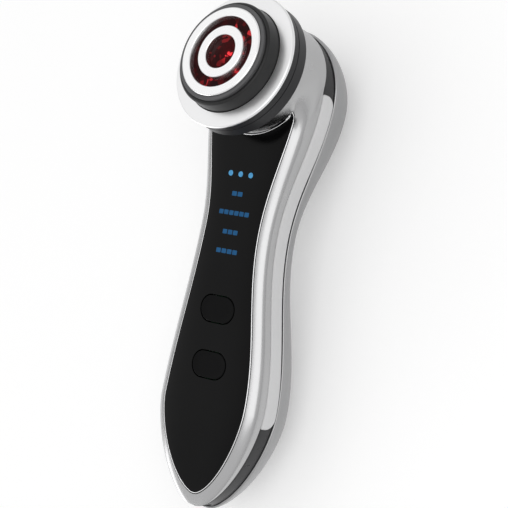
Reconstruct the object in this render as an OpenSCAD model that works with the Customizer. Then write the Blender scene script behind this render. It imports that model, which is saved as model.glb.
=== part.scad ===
// Handheld facial toning device: a waisted handle with a black control panel, and a round
// treatment head that faces forward. It lies on its back: +Y runs from the tail to the head
// and +Z is the panel side. Inside the modules y is counted from the tail tip.

/* [Handle in plan] */
// Tail tip to the widest part of the grip
belly_at = 39; // [36:0.5:43]
// Tail tip to the narrow waist
waist_at = 104; // [98:0.5:108]
// Tail tip to the widest part of the head
head_at = 154; // [152:0.5:158]
// Width of the grip at its widest
belly_w = 48.4; // [46:0.2:50]
// Width of the waist
waist_w = 35.2; // [34.6:0.2:38]
// Width of the head where the shells meet
head_w = 49.4; // [49:0.2:51]
// Widest part of the head to its far end
nose_l = 27.3; // [26:0.1:28]

/* [Handle in depth] */
// Height of the front seam at the grip
belly_seam = 25.6; // [25:0.1:26.2]
// Height of the front seam at the waist
waist_seam = 30.4; // [29.8:0.1:30.8]
// Height of the front seam at the head
head_seam = 29.5; // [29:0.1:30]
// Height of the dark band between the two shells
band_h = 7.1; // [6.8:0.1:7.6]
// Height of the panel's crown at the grip
belly_crown = 33.2; // [32.4:0.1:34]
// Height of the panel's crown at the waist
waist_crown = 36.7; // [36:0.1:37.2]
// Height of the panel's crown where it meets the head
neck_crown = 38.9; // [38.2:0.1:39.4]
// How far the back is drawn in at the waist
waist_back = 12.3; // [10:0.1:12.6]
// Depth of the flats that the back rests on
rest_cut = 0.4; // [0.3:0.05:0.8]

/* [Shells] */
// Wall of the front and rear shells
wall = 2; // [1.6:0.1:2.4]
// Gap at each seam of the shells
seam_gap = 0.12; // [0.05:0.01:0.2]
// How far the band lies behind the shells' skin
band_inset = 0.9; // [0.6:0.1:1.2]
// Wall of the band
band_wall = 2.2; // [1.8:0.1:2.6]
// Tail tip to the lower end of the side trims
trim_start = 34; // [30:1:40]
// Tail tip to the upper end of the side trims
trim_end = 157; // [150:1:160]

/* [Control panel] */
// Chrome left showing beside the panel
panel_side = 4.9; // [4.5:0.1:5.4]
// Chrome left showing below the panel's pointed end
panel_tip = 5.8; // [5.2:0.1:7]
// Tail tip to the middle of the panel's hollowed top edge
panel_top = 138.6; // [136:0.2:140]
// Radius of the panel's hollowed top edge
scoop_r = 24; // [23:0.5:27]
// Thickness of the panel
panel_t = 1.1; // [0.9:0.05:1.2]
// Radius of the panel's top corners
panel_corner = 1.3; // [0.8:0.1:2]
// Width of the chrome bezel
bezel_w = 0.5; // [0.4:0.05:0.7]
// Height of the bezel over the shell
bezel_rise = 0.12; // [0.05:0.01:0.2]
// Ledge of the front shell that carries the panel
ledge_w = 2.4; // [2:0.1:3]

/* [Buttons and lights] */
// Tail tip to the lower button
mode_at = 52.9; // [51:0.1:55]
// Tail tip to the upper button
level_at = 73.4; // [71:0.1:76]
// Width of each button
button_w = 15.8; // [14:0.2:17]
// Height of each button
button_h = 9.6; // [8.6:0.2:10.4]
// Gap round each button
button_gap = 0.35; // [0.25:0.05:0.5]
// Travel of each button
button_travel = 0.5; // [0.4:0.05:0.7]
// Tail tip to the row of level lights
lights_at = 123.4; // [121:0.1:126]
// Spacing of the level lights
light_pitch = 4.8; // [4:0.1:6]
// Diameter of each level light
light_d = 2; // [1.6:0.1:2.4]
// Tail tip to the lowest mode mark
marks_at = 94.8; // [92:0.1:97]
// Spacing of the mode marks
mark_pitch = 7.1; // [6.5:0.1:7.4]

/* [Treatment head] */
// Lean of the head towards the far end
head_tilt = 10.1; // [8:0.1:12]
// Height of the collar's seat over the rest plane
collar_z = 44.9; // [44.4:0.1:46]
// Tail tip to the centre of the collar's seat
collar_at = 160.5; // [160:0.1:162]
// Length of the neck's foot at the head's seam
foot_l = 41; // [40:0.2:44]
// Height of the dark collar
collar_h = 7.7; // [7:0.1:8.4]
// Thickness of the flange's rim
rim_t = 1.3; // [1:0.1:1.6]
// Height of the flange's inner edge over its rim's seat
flange_dish = 2.6; // [2.2:0.1:3]
// Radius of the opening inside the inner electrode
inner_bore_r = 6.55; // [6.3:0.05:6.7]
// Width of the inner electrode's ring
inner_band = 3.35; // [3:0.05:3.5]
// Width of the red window between the electrodes
window_w = 3.8; // [3.6:0.05:4]
// Width of the outer electrode's ring
outer_band = 3.4; // [3:0.05:3.5]
// Width of the insulator round the electrodes
insulator_band = 1.4; // [1.3:0.05:1.6]
// Wall of the electrode base round the insulator
base_wall = 1.7; // [1.5:0.1:2]
// Width of the chrome flange round the electrode base
flange_band = 5.8; // [5.6:0.1:6.6]
// How far the flange stands out over the dark collar
flange_over = 0.4; // [0.2:0.1:1]
// How far the dark collar stands out over the neck
collar_over = 2.4; // [1.8:0.1:2.6]
// Thickness of the electrodes
electrode_t = 1.6; // [1.3:0.1:1.8]
// Height of the electrodes' face over the collar's seat
face_h = 17.2; // [16.8:0.1:18]
// How far the red windows lie below the electrodes' face
window_depth = 2.1; // [1.8:0.1:2.4]

/* [Inside] */
// Diameter of the battery cell
cell_d = 14.2; // [13.6:0.1:14.4]
// Length of the battery cell
cell_l = 49; // [44:0.5:49.5]
// Tail tip to the battery cell
cell_at = 21; // [21:0.1:22]
// Width of the main board
board_w = 21; // [18:0.5:21.4]
// Length of the main board
board_l = 116; // [110:1:118]
// Thickness of the boards
board_t = 1.2; // [1:0.1:1.6]
// Side of the cooling module
cooler_w = 16; // [14:0.5:16.5]
// Thickness of the cooling module
cooler_t = 3.6; // [3.2:0.1:4]
// Side of the heat sink
sink_w = 22; // [18:0.5:22.4]
// Length of the heat sink's fins
fin_l = 11; // [6:0.5:14]

/* [Hidden] */

// Clearances
fit = 0.15;          // pieces that drop into each other
slip = 0.3;          // pieces that pass each other freely
past = 1;            // how far a cutter runs past a face
trim_sink = 0.08;    // the side trims lie this far behind the shells' skin
tip_flat = 0.15;     // the skins stop this far from their theoretical tips

// Shapes of the handle's curves: 2 is elliptic, more is squarer
tail_round = 1.63;
panel_round = 1.6;
crown_round = 1.35;
back_round = 1.7;
nose_round = 1.6;
front_square = 3.5;
back_square = 2.1;

// Steps along and across the skins
tail_steps = 9;
body_steps = 14;
nose_steps = 7;
arc_steps = 17;
cavity_arc_steps = 12;
cavity_steps = 11;
ring_sides = 48;

// Radii of the head, from the middle outwards
inner_r = inner_bore_r + inner_band;
outer_bore_r = inner_r + window_w;
outer_r = outer_bore_r + outer_band;
insulator_r = outer_r + insulator_band;
base_r = insulator_r + base_wall;
flange_r = base_r + flange_band;
collar_r = flange_r - flange_over;
neck_r = collar_r - collar_over;

// Where the whole object's middle lies, from the tail tip to the flange's far edge
rim_r = rim_t / 2;
rim_h = collar_h + rim_r;
far_end = collar_at + (flange_r - rim_r) * cos(head_tilt)
    + rim_h * sin(head_tilt) + rim_r;
mid_y = (far_end + tip_flat) / 2;

// Levels inside the handle, from the panel's crown down
switch_w = 6;
switch_h = 2;
plunger_r = 1.75;
plunger_rise = 0.8;
button_flange_t = 0.9;
button_foot = 1.6;
switch_top = belly_crown - panel_t - slip - button_flange_t - button_foot;
board_top = switch_top - plunger_rise - switch_h;
board_z = board_top - board_t;
board_at = cell_at - 5;
bar_at = [36, 129];
bar_w = 5;
bar_t = 2;
cell_z = board_z - bar_t - slip - cell_d / 2;
cradle_wall = 1.2;
cradle_low = cell_z - cell_d / 2 + 1;
cradle_high = cell_z - 1.1;
rib_at = [33, 60];
rib_w = 2;

// Shell screws, two at the tail and two at the neck, in the ledge under the panel: [x, y]
shell_screw_in = 1;
shell_screw_at = [for (y = [28, 135.5], side = [1, -1])
    [side * (panel_half(y, -ledge_w) - shell_screw_in), y]];
boss_r = 2.6;
screw_r = 0.9;
screw_head_r = 1.8;
screw_head_h = 1.2;
screw_bite = 7;

// Charging socket
socket_w = 8.94;
socket_h = 3.26;
socket_l = 7.3;
socket_at = 3;
socket_z = belly_seam - band_h / 2;
socket_wall = 0.3;
charge_board_l = 12;
charge_board_w = 13;

// Levels inside the head, over the collar's seat
neck_wall = 2.2;
spigot_r = neck_r - neck_wall - fit;
spigot_l = 1.8;
spigot_wall = 2;
floor_t = 2;
floor_h = collar_h - 1.1;
hole_r = insulator_r - 2.3;
base_floor_t = 3.2;
base_top_h = face_h - 2;
spreader_h = floor_h + base_floor_t;
spreader_t = 1.5;
spreader_top = spreader_h + spreader_t;
electrode_low = face_h - electrode_t;
window_h = face_h - window_depth;
window_t = 1.2;
window_skirt = 0.6;
cooler_low = spreader_h - cooler_t;
sink_plate_t = 2.4;
fin_t = 1.1;
fin_count = 6;
head_screw_ring = (hole_r + spigot_r - spigot_wall) / 2;
pin_r = 0.45;
lead_r = 0.6;
head_screw_r = 1.2;
inner_pin_at = inner_r - 1;
outer_pin_at = outer_r - 1.7;
led_side = 2;
led_h = 0.8;
ring_led_count = 8;

// ---- Curves of the handle ----

// Eases from 0 to 1
function ease(t) = (1 - cos(180 * min(1, max(0, t)))) / 2;

// Value at y of a measure given at the belly, the waist and the head
function along(y, belly, waist, head) = y < waist_at
    ? belly + (waist - belly) * ease((y - belly_at) / (waist_at - belly_at))
    : waist + (head - waist) * ease((y - waist_at) / (head_at - waist_at));

// Falls from 1 to 0 as t grows from 0 to 1, on a rounded corner
function close(t, square) = pow(max(0, 1 - pow(min(1, max(0, t)), square)), 1 / square);

// Share of the full size that is left near the tail and near the far end
function tail_share(y, tip, square) = close((belly_at - y) / (belly_at - tip), square);
function nose_share(y, inset, square = 2) = close((y - head_at) / (nose_l - inset), square);

// Half the width in plan, a given distance inside the skin
function half_w(y, inset) = (along(y, belly_w, waist_w, head_w) / 2 - inset)
    * tail_share(y, inset, tail_round) * nose_share(y, inset);

// Heights of the two seams
function seam(y) = along(y, belly_seam, waist_seam, head_seam);
function rear_seam(y) = seam(y) - band_h;

// Heights of the panel's crown and of the back's centre line, inside the skin by inset
function crown(y, inset) = seam(y)
    + (along(y, belly_crown, waist_crown, neck_crown) - inset - seam(y))
    * tail_share(y, inset, crown_round) * nose_share(y, inset);
function back(y, inset) = rear_seam(y)
    - (rear_seam(y) - along(y, 0, waist_back, 0) - inset)
    * tail_share(y, inset, back_round) * nose_share(y, inset, nose_round);

// Height of the front skin at any point in plan
function skin_z(x, y, inset) = seam(y)
    + (crown(y, inset) - seam(y)) * close(abs(x) / half_w(y, inset), front_square);

// Half the panel's width at y
function panel_half(y, grow) = grow
    + (along(y, belly_w, waist_w, head_w) / 2 - panel_side)
    * tail_share(y, panel_tip - grow, panel_round);

// Rows along the handle, closer together towards both ends
function rows(inset, steps) = concat(
    [for (i = [0:tail_steps - 1]) inset + tip_flat
        + (belly_at - inset - tip_flat) * (1 - cos(90 * i / tail_steps))],
    [for (i = [0:steps]) belly_at + (head_at - belly_at) * i / steps],
    [for (i = [1:nose_steps]) head_at
        + (nose_l - inset - tip_flat) * sin(90 * i / nose_steps)]);

// Half of a squared oval, from its right end over its top to its left end
function oval_arc(a, h, square, steps) = [for (k = [0:steps])
    let (t = 180 * k / steps, c = abs(cos(t)), s = abs(sin(t)),
         r = pow(pow(c, square) + pow(s, square), -1 / square))
    [a * r * cos(t), h * r * s]];

// ---- Building blocks ----

// Skins a row of closed rings with equal counts of points, and closes both ends
module skin(rings) {
    n = len(rings[0]);
    last = len(rings) - 1;
    sides = [for (i = [0:last - 1], k = [0:n - 1])
        let (a = i * n + k, b = i * n + (k + 1) % n)
        each [[a, b, b + n], [a, b + n, a + n]]];
    polyhedron([for (ring = rings) each ring],
        concat(sides, [[for (k = [n - 1:-1:0]) k]], [[for (k = [0:n - 1]) last * n + k]]));
}

// Everything under it is worked out as one mesh
module one_mesh() { resize([0, 0, 0]) children(); }

// Moves pieces drawn from the tail tip to the object's own origin
module place() { translate([0, -mid_y, -rest_cut]) children(); }

// A point given on the head's own axis, and pieces drawn on it, counted from the collar's seat
function head_point(p) = [p[0], collar_at + p[1] * cos(head_tilt) + p[2] * sin(head_tilt),
    collar_z - p[1] * sin(head_tilt) + p[2] * cos(head_tilt)];
module lean() { translate([0, collar_at, collar_z]) rotate([-head_tilt, 0, 0]) children(); }
module on_head() { place() lean() children(); }

// Front of the handle, down to its seam or a little past it
module dome(inset, lift = 0, drop = 0, across = arc_steps, steps = body_steps) {
    skin([for (y = rows(inset, steps))
        let (a = half_w(y, inset), low = seam(y) + lift)
        concat([for (p = oval_arc(a, crown(y, inset) - low, front_square, across)) [p[0], y, low + p[1]]],
            drop > 0 ? [[-a, y, low - drop], [a, y, low - drop]] : [])]);
}

// Rear of the handle, up to its seam or a little past it
module bowl(inset, lift = 0, drop = 0, across = arc_steps, steps = body_steps) {
    skin([for (y = rows(inset, steps))
        let (a = half_w(y, inset), high = rear_seam(y) - lift)
        concat([for (p = oval_arc(a, high - back(y, inset), back_square, across)) [-p[0], y, high - p[1]]],
            drop > 0 ? [[a, y, high + drop], [-a, y, high + drop]] : [])]);
}

// Slab between the two seams, short of them by gap
module slab(inset, gap, steps = body_steps) {
    skin([for (y = rows(inset, steps))
        let (a = half_w(y, inset), low = rear_seam(y) + gap, high = seam(y) - gap)
        [[a, y, low], [a, y, high], [-a, y, high], [-a, y, low]]]);
}

// Neck that rises from an oval foot at the head's seam to the collar's seat
module neck(inset, drop, rise) {
    foot_y = head_at + nose_l - foot_l / 2;
    turns = [for (k = [0:ring_sides - 1]) -360 * k / ring_sides];
    r = neck_r - inset;
    foot = [for (t = turns)
        [(head_w / 2 - 0.1 - inset) * cos(t), foot_y + (foot_l / 2 - inset) * sin(t), head_seam - drop]];
    seat = [for (t = turns) head_point([r * cos(t), r * sin(t), rise])];
    skin([foot, seat]);
}

// The panel's outline in plan, widened by grow
module panel_outline(grow) {
    steps = 20;
    tip = panel_tip - grow + tip_flat;
    edge = [for (i = [0:steps]) tip + (head_at - tip) * (1 - cos(90 * i / steps))];
    offset(r = panel_corner) offset(delta = -panel_corner) difference() {
        polygon(concat([for (y = edge) [panel_half(y, grow), y]],
            [for (i = [len(edge) - 1:-1:0]) [-panel_half(edge[i], grow), edge[i]]]));
        translate([0, panel_top + scoop_r]) circle(scoop_r - grow, $fn = 96);
    }
}

// Upright prism over an outline, through the whole front
module through_front() { translate([0, 0, belly_seam - past]) linear_extrude(20) children(); }

// Outline of a button, widened by grow
module button_outline(at, grow) {
    for_end = button_w / 2 - button_h / 2;
    hull() for (x = [-for_end, for_end]) translate([x, at]) circle(button_h / 2 + grow, $fn = 32);
}

// Ring on the head's axis, from its section in radius and height
module turned(section) { rotate_extrude($fn = 96) polygon(section); }

// Upright screw with its head's top at the origin
module screw(head_r, head_h, shank_r, length) {
    translate([0, 0, -head_h]) cylinder(h = head_h, r = head_r, $fn = 24);
    translate([0, 0, -length]) cylinder(h = length - head_h / 2, r = shank_r, $fn = 24);
}

// Tube along a path that never runs straight up, its ends turned like its first and last stretch
module lead(path, r, sides = 8) {
    last = len(path) - 1;
    skin([for (i = [0:last])
        let (d = path[min(last, i + 1)] - path[max(0, i - 1)],
             across = cross(d, [0, 0, 1]) / norm(cross(d, [0, 0, 1])),
             over = cross(across, d) / norm(d))
        [for (k = [0:sides - 1]) let (t = 360 * k / sides)
            path[i] + r * (cos(t) * across + sin(t) * over)]]);
}

// ---- Housing ----

module front_shell() color("gainsboro") place() one_mesh() difference() {
    union() {
        difference() {
            union() {
                dome(0, lift = seam_gap);
                neck(0, -seam_gap, -seam_gap);
            }
            dome(wall, drop = past, across = cavity_arc_steps, steps = cavity_steps);
            neck(neck_wall, past, past);
            lean() translate([0, 0, -spigot_l - slip])
                cylinder(h = 2 * spigot_l, r = spigot_r + fit, $fn = ring_sides);
            difference() {
                intersection() {
                    through_front() panel_outline(bezel_w + fit);
                    dome(-2 * bezel_rise);
                }
                dome(panel_t, drop = 2 * past);
            }
            through_front() panel_outline(-ledge_w);
        }
        // bosses for the shell screws, under the panel
        intersection() {
            for (p = shell_screw_at) translate([p[0], p[1], seam(p[1]) + seam_gap])
                cylinder(h = belly_crown, r = boss_r, $fn = 24);
            dome(panel_t);
        }
    }
    for (p = shell_screw_at) translate([p[0], p[1], 0]) {
        cylinder(h = neck_crown, r = screw_r + fit, $fn = 16);
        translate([0, 0, screw_top(p) - screw_head_h - fit / 2])
            cylinder(h = 3 * screw_head_h, r = screw_head_r + fit, $fn = 20);
    }
}

// Top of a shell screw's head, just under the panel's lower side
function screw_top(p) = skin_z(abs(p[0]) + screw_head_r, p[1], panel_t) - fit;

module rear_shell() color("silver") place() one_mesh() difference() {
    union() {
        difference() {
            bowl(0, lift = seam_gap);
            bowl(wall, drop = past, across = cavity_arc_steps, steps = cavity_steps);
        }
        // bosses for the shell screws, and ribs that carry the battery's cradle
        intersection() {
            union() {
                for (p = shell_screw_at) translate([p[0], p[1], 0])
                    cylinder(h = rear_seam(p[1]) - seam_gap, r = boss_r, $fn = 24);
                for (y = rib_at) translate([-belly_w / 2, y - rib_w / 2, 0])
                    cube([belly_w, rib_w, cradle_low]);
            }
            bowl(wall / 2, lift = seam_gap);
        }
    }
    for (p = shell_screw_at) translate([p[0], p[1], screw_top(p) - screw_length(p) - 2 * fit])
        cylinder(h = belly_crown, r = screw_r + fit / 2, $fn = 16);
    along_cell() cylinder(h = cell_l + 2 * slip, r = cell_d / 2 + slip, $fn = 48);
    // flats that the device lies on
    translate([-belly_w, -past, -past]) cube([2 * belly_w, far_end + past, past + rest_cut]);
}

// A shell screw reaches this far from the top of its head
function screw_length(p) = screw_top(p) - rear_seam(p[1]) + screw_bite;

module mid_frame() color("dimgray") place() one_mesh() difference() {
    slab(band_inset, seam_gap);
    difference() {
        slab(band_inset + band_wall, -past);
        // lugs that the shell screws pass through
        for (p = shell_screw_at) translate([p[0] > 0 ? p[0] - boss_r : -belly_w, p[1] - boss_r, 0])
            cube([belly_w - abs(p[0]) + boss_r, 2 * boss_r, neck_crown]);
        // bars that carry the main board
        for (y = bar_at) translate([-belly_w, y - bar_w / 2, board_z - bar_t])
            cube([2 * belly_w, bar_w, bar_t]);
        // bar that carries the charging board
        translate([-belly_w, charge_board_y + charge_board_l - bar_w, charge_board_z + board_t])
            cube([2 * belly_w, bar_w, bar_t]);
        // frame round the charging socket
        translate([-socket_w, 0, socket_z - socket_h])
            cube([2 * socket_w, socket_at + 2, 2 * socket_h]);
    }
    for (p = shell_screw_at) translate([p[0], p[1], 0])
        cylinder(h = belly_crown, r = screw_r + fit, $fn = 16);
    for (y = bar_at, x = board_screw_x) translate([x, y, board_z - bar_t - past])
        cylinder(h = bar_t + 2 * past, r = screw_r + fit / 2, $fn = 16);
    translate([0, -past, socket_z]) rotate([-90, 0, 0])
        linear_extrude(socket_at + socket_l) socket_outline(fit);
}

// Strip that fills the band's right recess: its rear corners are rounder than its front ones
module side_trim() {
    steps = 26;
    front_corner = band_h / 6;
    rear_corner = band_h / 2 + 0.6;
    bevel = 0.3;
    skin([for (i = [0:steps])
        let (y = trim_start + (trim_end - trim_start) * (1 - cos(180 * i / steps)) / 2,
             to_end = min(y - trim_start, trim_end - y),
             high = seam(y) - seam_gap - front_corner * (1 - bend(to_end, front_corner)),
             low = rear_seam(y) + seam_gap + rear_corner * (1 - bend(to_end, rear_corner)),
             back = half_w(y, band_inset - fit), out = half_w(y, 0) - trim_sink)
        [[back, y, low], [out - bevel, y, low], [out, y, low + bevel],
         [out, y, high - bevel], [out - bevel, y, high], [back, y, high]]]);
}

// Rises from 0 to 1 over a rounded end
function bend(d, r) = close(1 - d / r, 2);

module side_trim_right() color("whitesmoke") place() one_mesh() side_trim();
module side_trim_left() color("whitesmoke") place() one_mesh() mirror([1, 0, 0]) side_trim();

// ---- Control panel ----

module panel_bezel() color("white") place() one_mesh() difference() {
    intersection() {
        dome(-bezel_rise);
        through_front() difference() {
            panel_outline(bezel_w);
            panel_outline(0);
        }
    }
    dome(panel_t, drop = 2 * past);
}

module control_panel() color("black") place() one_mesh() difference() {
    intersection() {
        dome(0);
        through_front() difference() {
            panel_outline(-0.06);
            button_outline(mode_at, button_gap);
            button_outline(level_at, button_gap);
            for (i = [-1:1]) translate([i * light_pitch, lights_at]) circle(light_d / 2 + 0.05, $fn = 24);
        }
    }
    dome(panel_t, drop = 2 * past);
}

// Button cap with a retaining flange under the panel and a foot on its switch
module button(at) {
    flange_z = crown(at, panel_t) - slip;
    one_mesh() {
        intersection() {
            dome(0);
            translate([0, 0, flange_z - button_flange_t / 2])
                linear_extrude(20) button_outline(at, 0);
        }
        translate([0, 0, flange_z - button_flange_t])
            linear_extrude(button_flange_t - 0.25) button_outline(at, 1);
        translate([0, at, switch_top])
            cylinder(h = flange_z - switch_top - button_flange_t / 2, r = 2.4, $fn = 24);
    }
}

module level_button() color("black") place() button(level_at);
module mode_button() color("black") place() button(mode_at);

// Stem of a tact switch, which sinks into the switch's housing
module plunger(at) {
    translate([0, at, board_top + switch_h - button_travel - 0.4])
        cylinder(h = plunger_rise + button_travel + 0.4, r = plunger_r, $fn = 32);
}

module level_plunger() color("dimgray") place() plunger(level_at);
module mode_plunger() color("dimgray") place() plunger(mode_at);

module tact_switches() color("gray") place() for (at = [mode_at, level_at]) difference() {
    translate([-switch_w / 2, at - switch_w / 2, board_top]) cube([switch_w, switch_w, switch_h]);
    translate([0, at, board_top + switch_h - 2 * button_travel - 0.8])
        cylinder(h = switch_h, r = plunger_r + fit, $fn = 32);
}

module level_lights() color("deepskyblue") place() for (i = [-1:1])
    translate([i * light_pitch, lights_at, board_top + led_h + slip])
        cylinder(h = skin_z(light_pitch, lights_at, 0) - board_top - led_h - slip, d = light_d, $fn = 32);

guide_w = 0.47 * waist_w;
guide_margin = 3;

// Clear strip that spreads light under the four mode marks
module light_guide() color("lightblue") place() one_mesh() difference() {
    intersection() {
        dome(panel_t);
        through_front() translate([-guide_w / 2, marks_at - guide_margin])
            square([guide_w, 3 * mark_pitch + 2 * guide_margin]);
    }
    dome(panel_t + 1.2, drop = 2 * past);
}

module indicator_leds() color("white") place() {
    for (i = [-1:1]) led(i * light_pitch, lights_at);
    for (i = [0:3]) led(0, marks_at + i * mark_pitch);
}

module led(x, y) {
    translate([x - led_side / 2, y - led_side / 2, board_top]) cube([led_side, led_side, led_h]);
}

// ---- Electronics in the handle ----

board_screw_x = [-7.5, 7.5];

module main_board() color("seagreen") place() difference() {
    translate([-board_w / 2, board_at, board_z]) cube([board_w, board_l, board_t]);
    for (y = bar_at, x = board_screw_x) translate([x, y, board_z - past])
        cylinder(h = board_t + 2 * past, r = screw_r + fit, $fn = 24);
}

module board_screws() color("silver") place() for (y = bar_at, x = board_screw_x)
    translate([x, y, board_top + screw_head_h])
        screw(screw_head_r, screw_head_h, screw_r, screw_head_h + board_t + bar_t);

// Frame of the battery's axis, a little before its end
module along_cell() { translate([0, cell_at - slip, cell_z]) rotate([-90, 0, 0]) children(); }

module battery() color("royalblue") place() along_cell() translate([0, 0, slip]) {
    cylinder(h = cell_l - 1, d = cell_d, $fn = 64);
    translate([0, 0, cell_l - 2]) cylinder(h = 2, d = cell_d / 3, $fn = 32);
}

module battery_cradle() color("darkslategray") place() difference() {
    translate([-cell_d / 2 - cradle_wall, cell_at - slip - cradle_wall, cradle_low])
        cube([cell_d + 2 * cradle_wall, cell_l + 2 * (slip + cradle_wall), cradle_high - cradle_low]);
    along_cell() cylinder(h = cell_l + 2 * slip, r = cell_d / 2 + fit, $fn = 64);
}

module socket_outline(grow) {
    hull() for (x = [-1, 1]) translate([x * (socket_w - socket_h) / 2, 0])
        circle(socket_h / 2 + grow, $fn = 32);
}

// Metal shell with its contact tongue
module charge_socket() color("silver") place() translate([0, socket_at, socket_z]) rotate([-90, 0, 0]) {
    difference() {
        linear_extrude(socket_l) socket_outline(0);
        translate([0, 0, -past]) linear_extrude(socket_l - socket_wall) socket_outline(-socket_wall);
    }
    translate([-socket_w / 2 + 1.4, -0.35, 0.8]) cube([socket_w - 2.8, 0.7, socket_l - 1]);
}

charge_board_z = socket_z - socket_h / 2 - board_t;
charge_board_y = socket_at + 4.7;

module charge_board() color("seagreen") place()
    translate([-charge_board_w / 2, charge_board_y, charge_board_z])
        cube([charge_board_w, charge_board_l, board_t]);

module buzzer() color("dimgray") place() translate([0, waist_at - 16, board_z - 4]) difference() {
    cylinder(h = 4, r = 4.5, $fn = 48);
    translate([0, 0, -past]) cylinder(h = past + 0.6, r = 1, $fn = 24);
}

// Step-up transformer of the pulse supply: core, and winding between its cheeks
module transformer() color("goldenrod") place() translate([0, waist_at + 1, board_z]) {
    size = 0.34 * waist_w;
    cheek_t = size / 8;
    height = 0.75 * size;
    for (y = [-size / 2, size / 2 - cheek_t]) translate([-size / 2, y, -height])
        cube([size, cheek_t, height]);
    translate([0, cheek_t - size / 2, -height / 2]) rotate([-90, 0, 0])
        cylinder(h = size - 2 * cheek_t, r = 0.43 * height, $fn = 40);
}

// ---- Treatment head ----

module head_collar() color("dimgray") on_head() difference() {
    groove = 0.35;
    groove_h = collar_h * 0.62;
    turned([[spigot_r - spigot_wall, -spigot_l], [spigot_r, -spigot_l], [spigot_r, 0],
        [collar_r - 0.4, 0], [collar_r, 0.4], [collar_r, groove_h - groove],
        [collar_r - groove, groove_h], [collar_r, groove_h + groove], [collar_r, collar_h],
        [base_r + 1.4, collar_h], [base_r + 1.4, floor_h], [hole_r, floor_h],
        [hole_r, floor_h - floor_t], [spigot_r - spigot_wall, floor_h - floor_t]]);
    for (t = head_screw_turns) rotate(t) translate([head_screw_ring, 0, floor_h - floor_t - past])
        cylinder(h = floor_t + 2 * past, r = screw_r + fit, $fn = 24);
}

head_screw_turns = [60, 180, 300];

// Polished flange: rounded rim, dished face and a lip that seats in the collar
module flange_ring() color("white") on_head() turned(concat(
    [[base_r + 0.2, floor_h], [base_r + 1.3, floor_h], [base_r + 1.3, collar_h]],
    [for (t = [-90:15:90]) [flange_r - rim_r + rim_r * cos(t), rim_h + rim_r * sin(t)]],
    [for (k = [1:6]) let (t = k / 6) [flange_r - rim_r - 0.4 - (flange_r - rim_r - base_r - 0.6) * t,
        rim_h + rim_r - 0.1 + (flange_dish - rim_t + 0.1) * pow(t, 1.6)]]));

module electrode_base() color("black") on_head() difference() {
    turned([[hole_r, floor_h], [base_r, floor_h], [base_r, collar_h + flange_dish],
        [base_r - 0.3, base_top_h - 0.4], [base_r - 0.7, base_top_h],
        [insulator_r + fit, base_top_h], [insulator_r + fit, spreader_h], [hole_r, spreader_h]]);
    for (t = head_screw_turns) rotate(t) translate([head_screw_ring, 0, floor_h - past])
        cylinder(h = base_floor_t - 0.6 + past, r = screw_r + fit / 3, $fn = 24);
}

module insulator_ring() color("darkslategray") on_head() turned([
    [outer_r + 0.1, spreader_top], [insulator_r, spreader_top], [insulator_r, face_h - 1.2],
    [insulator_r - 0.4, face_h - 0.8], [outer_r + 0.1, face_h - 0.8]]);

// Electrode ring with rounded edges on its face
module electrode(r_in, r_out) {
    e = 0.45;
    turned(concat([[r_in, electrode_low], [r_out, electrode_low]],
        [for (t = [0:22.5:90]) [r_out - e + e * cos(t), face_h - e + e * sin(t)]],
        [for (t = [90:22.5:180]) [r_in + e + e * cos(t), face_h - e + e * sin(t)]]));
}

module outer_electrode() color("white") on_head() electrode(outer_bore_r, outer_r);
module inner_electrode() color("white") on_head() electrode(inner_bore_r, inner_r);

// Red window over the ring of lights, with two skirts that stand on their board
module window_ring() color("darkred") on_head() turned([
    [inner_rim_r + 0.05, led_board_top], [inner_rim_r + window_skirt, led_board_top],
    [inner_rim_r + window_skirt, window_h - window_t], [outer_rim_r - window_skirt, window_h - window_t],
    [outer_rim_r - window_skirt, led_board_top], [outer_rim_r - 0.05, led_board_top],
    [outer_rim_r - 0.05, window_h], [inner_rim_r + 0.05, window_h]]);

inner_rim_r = inner_r - 0.1;
outer_rim_r = outer_bore_r + 0.1;
lens_r = inner_bore_r + 0.5;
led_board_t = 0.8;
led_board_top = spreader_top + led_board_t;

// Domed red lens over the middle light, with a skirt that stands on the spreader
module centre_lens() color("crimson") on_head() turned(concat(
    [[lens_r - window_skirt, spreader_top], [lens_r - 0.05, spreader_top], [lens_r - 0.05, window_h - 0.3]],
    [for (k = [0:6]) let (t = 15 * k) [(inner_bore_r - 0.4) * cos(t), window_h - 0.3 + 1.1 * sin(t)]],
    [[0, window_h - window_t - 0.3], [lens_r - window_skirt, window_h - window_t - 0.3]]));

// Ceramic plate that carries both electrodes on rims and cools them
module heat_spreader() color("ivory") on_head() translate([0, 0, spreader_h]) difference() {
    union() {
        cylinder(h = spreader_t, r = insulator_r, $fn = 96);
        turned([[outer_rim_r, 0], [outer_r - 0.1, 0], [outer_r - 0.1, rim_top], [outer_rim_r, rim_top]]);
        turned([[lens_r, 0], [inner_rim_r, 0], [inner_rim_r, rim_top], [lens_r, rim_top]]);
    }
    for (x = [inner_pin_at, outer_pin_at]) translate([x, 0, -past])
        cylinder(h = rim_top + 2 * past, r = pin_r + fit, $fn = 24);
}

rim_top = electrode_low - spreader_h;

module led_board() color("darkgreen") on_head() translate([0, 0, spreader_top]) {
    difference() {
        cylinder(h = led_board_t, r = outer_rim_r - 0.05, $fn = 96);
        translate([0, 0, -past]) cylinder(h = led_board_t + 2 * past, r = inner_rim_r + 0.05, $fn = 96);
    }
    cylinder(h = led_board_t, r = lens_r - window_skirt - fit, $fn = 48);
}

module head_leds() color("red") on_head() translate([0, 0, led_board_top]) {
    for (k = [0:ring_led_count - 1]) rotate(360 * k / ring_led_count)
        translate([(inner_rim_r + outer_rim_r) / 2 - 0.75, -0.75, 0]) cube([1.5, 1.5, led_h]);
    translate([-1.5, -1.5, 0]) cube([3, 3, led_h]);
}

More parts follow.
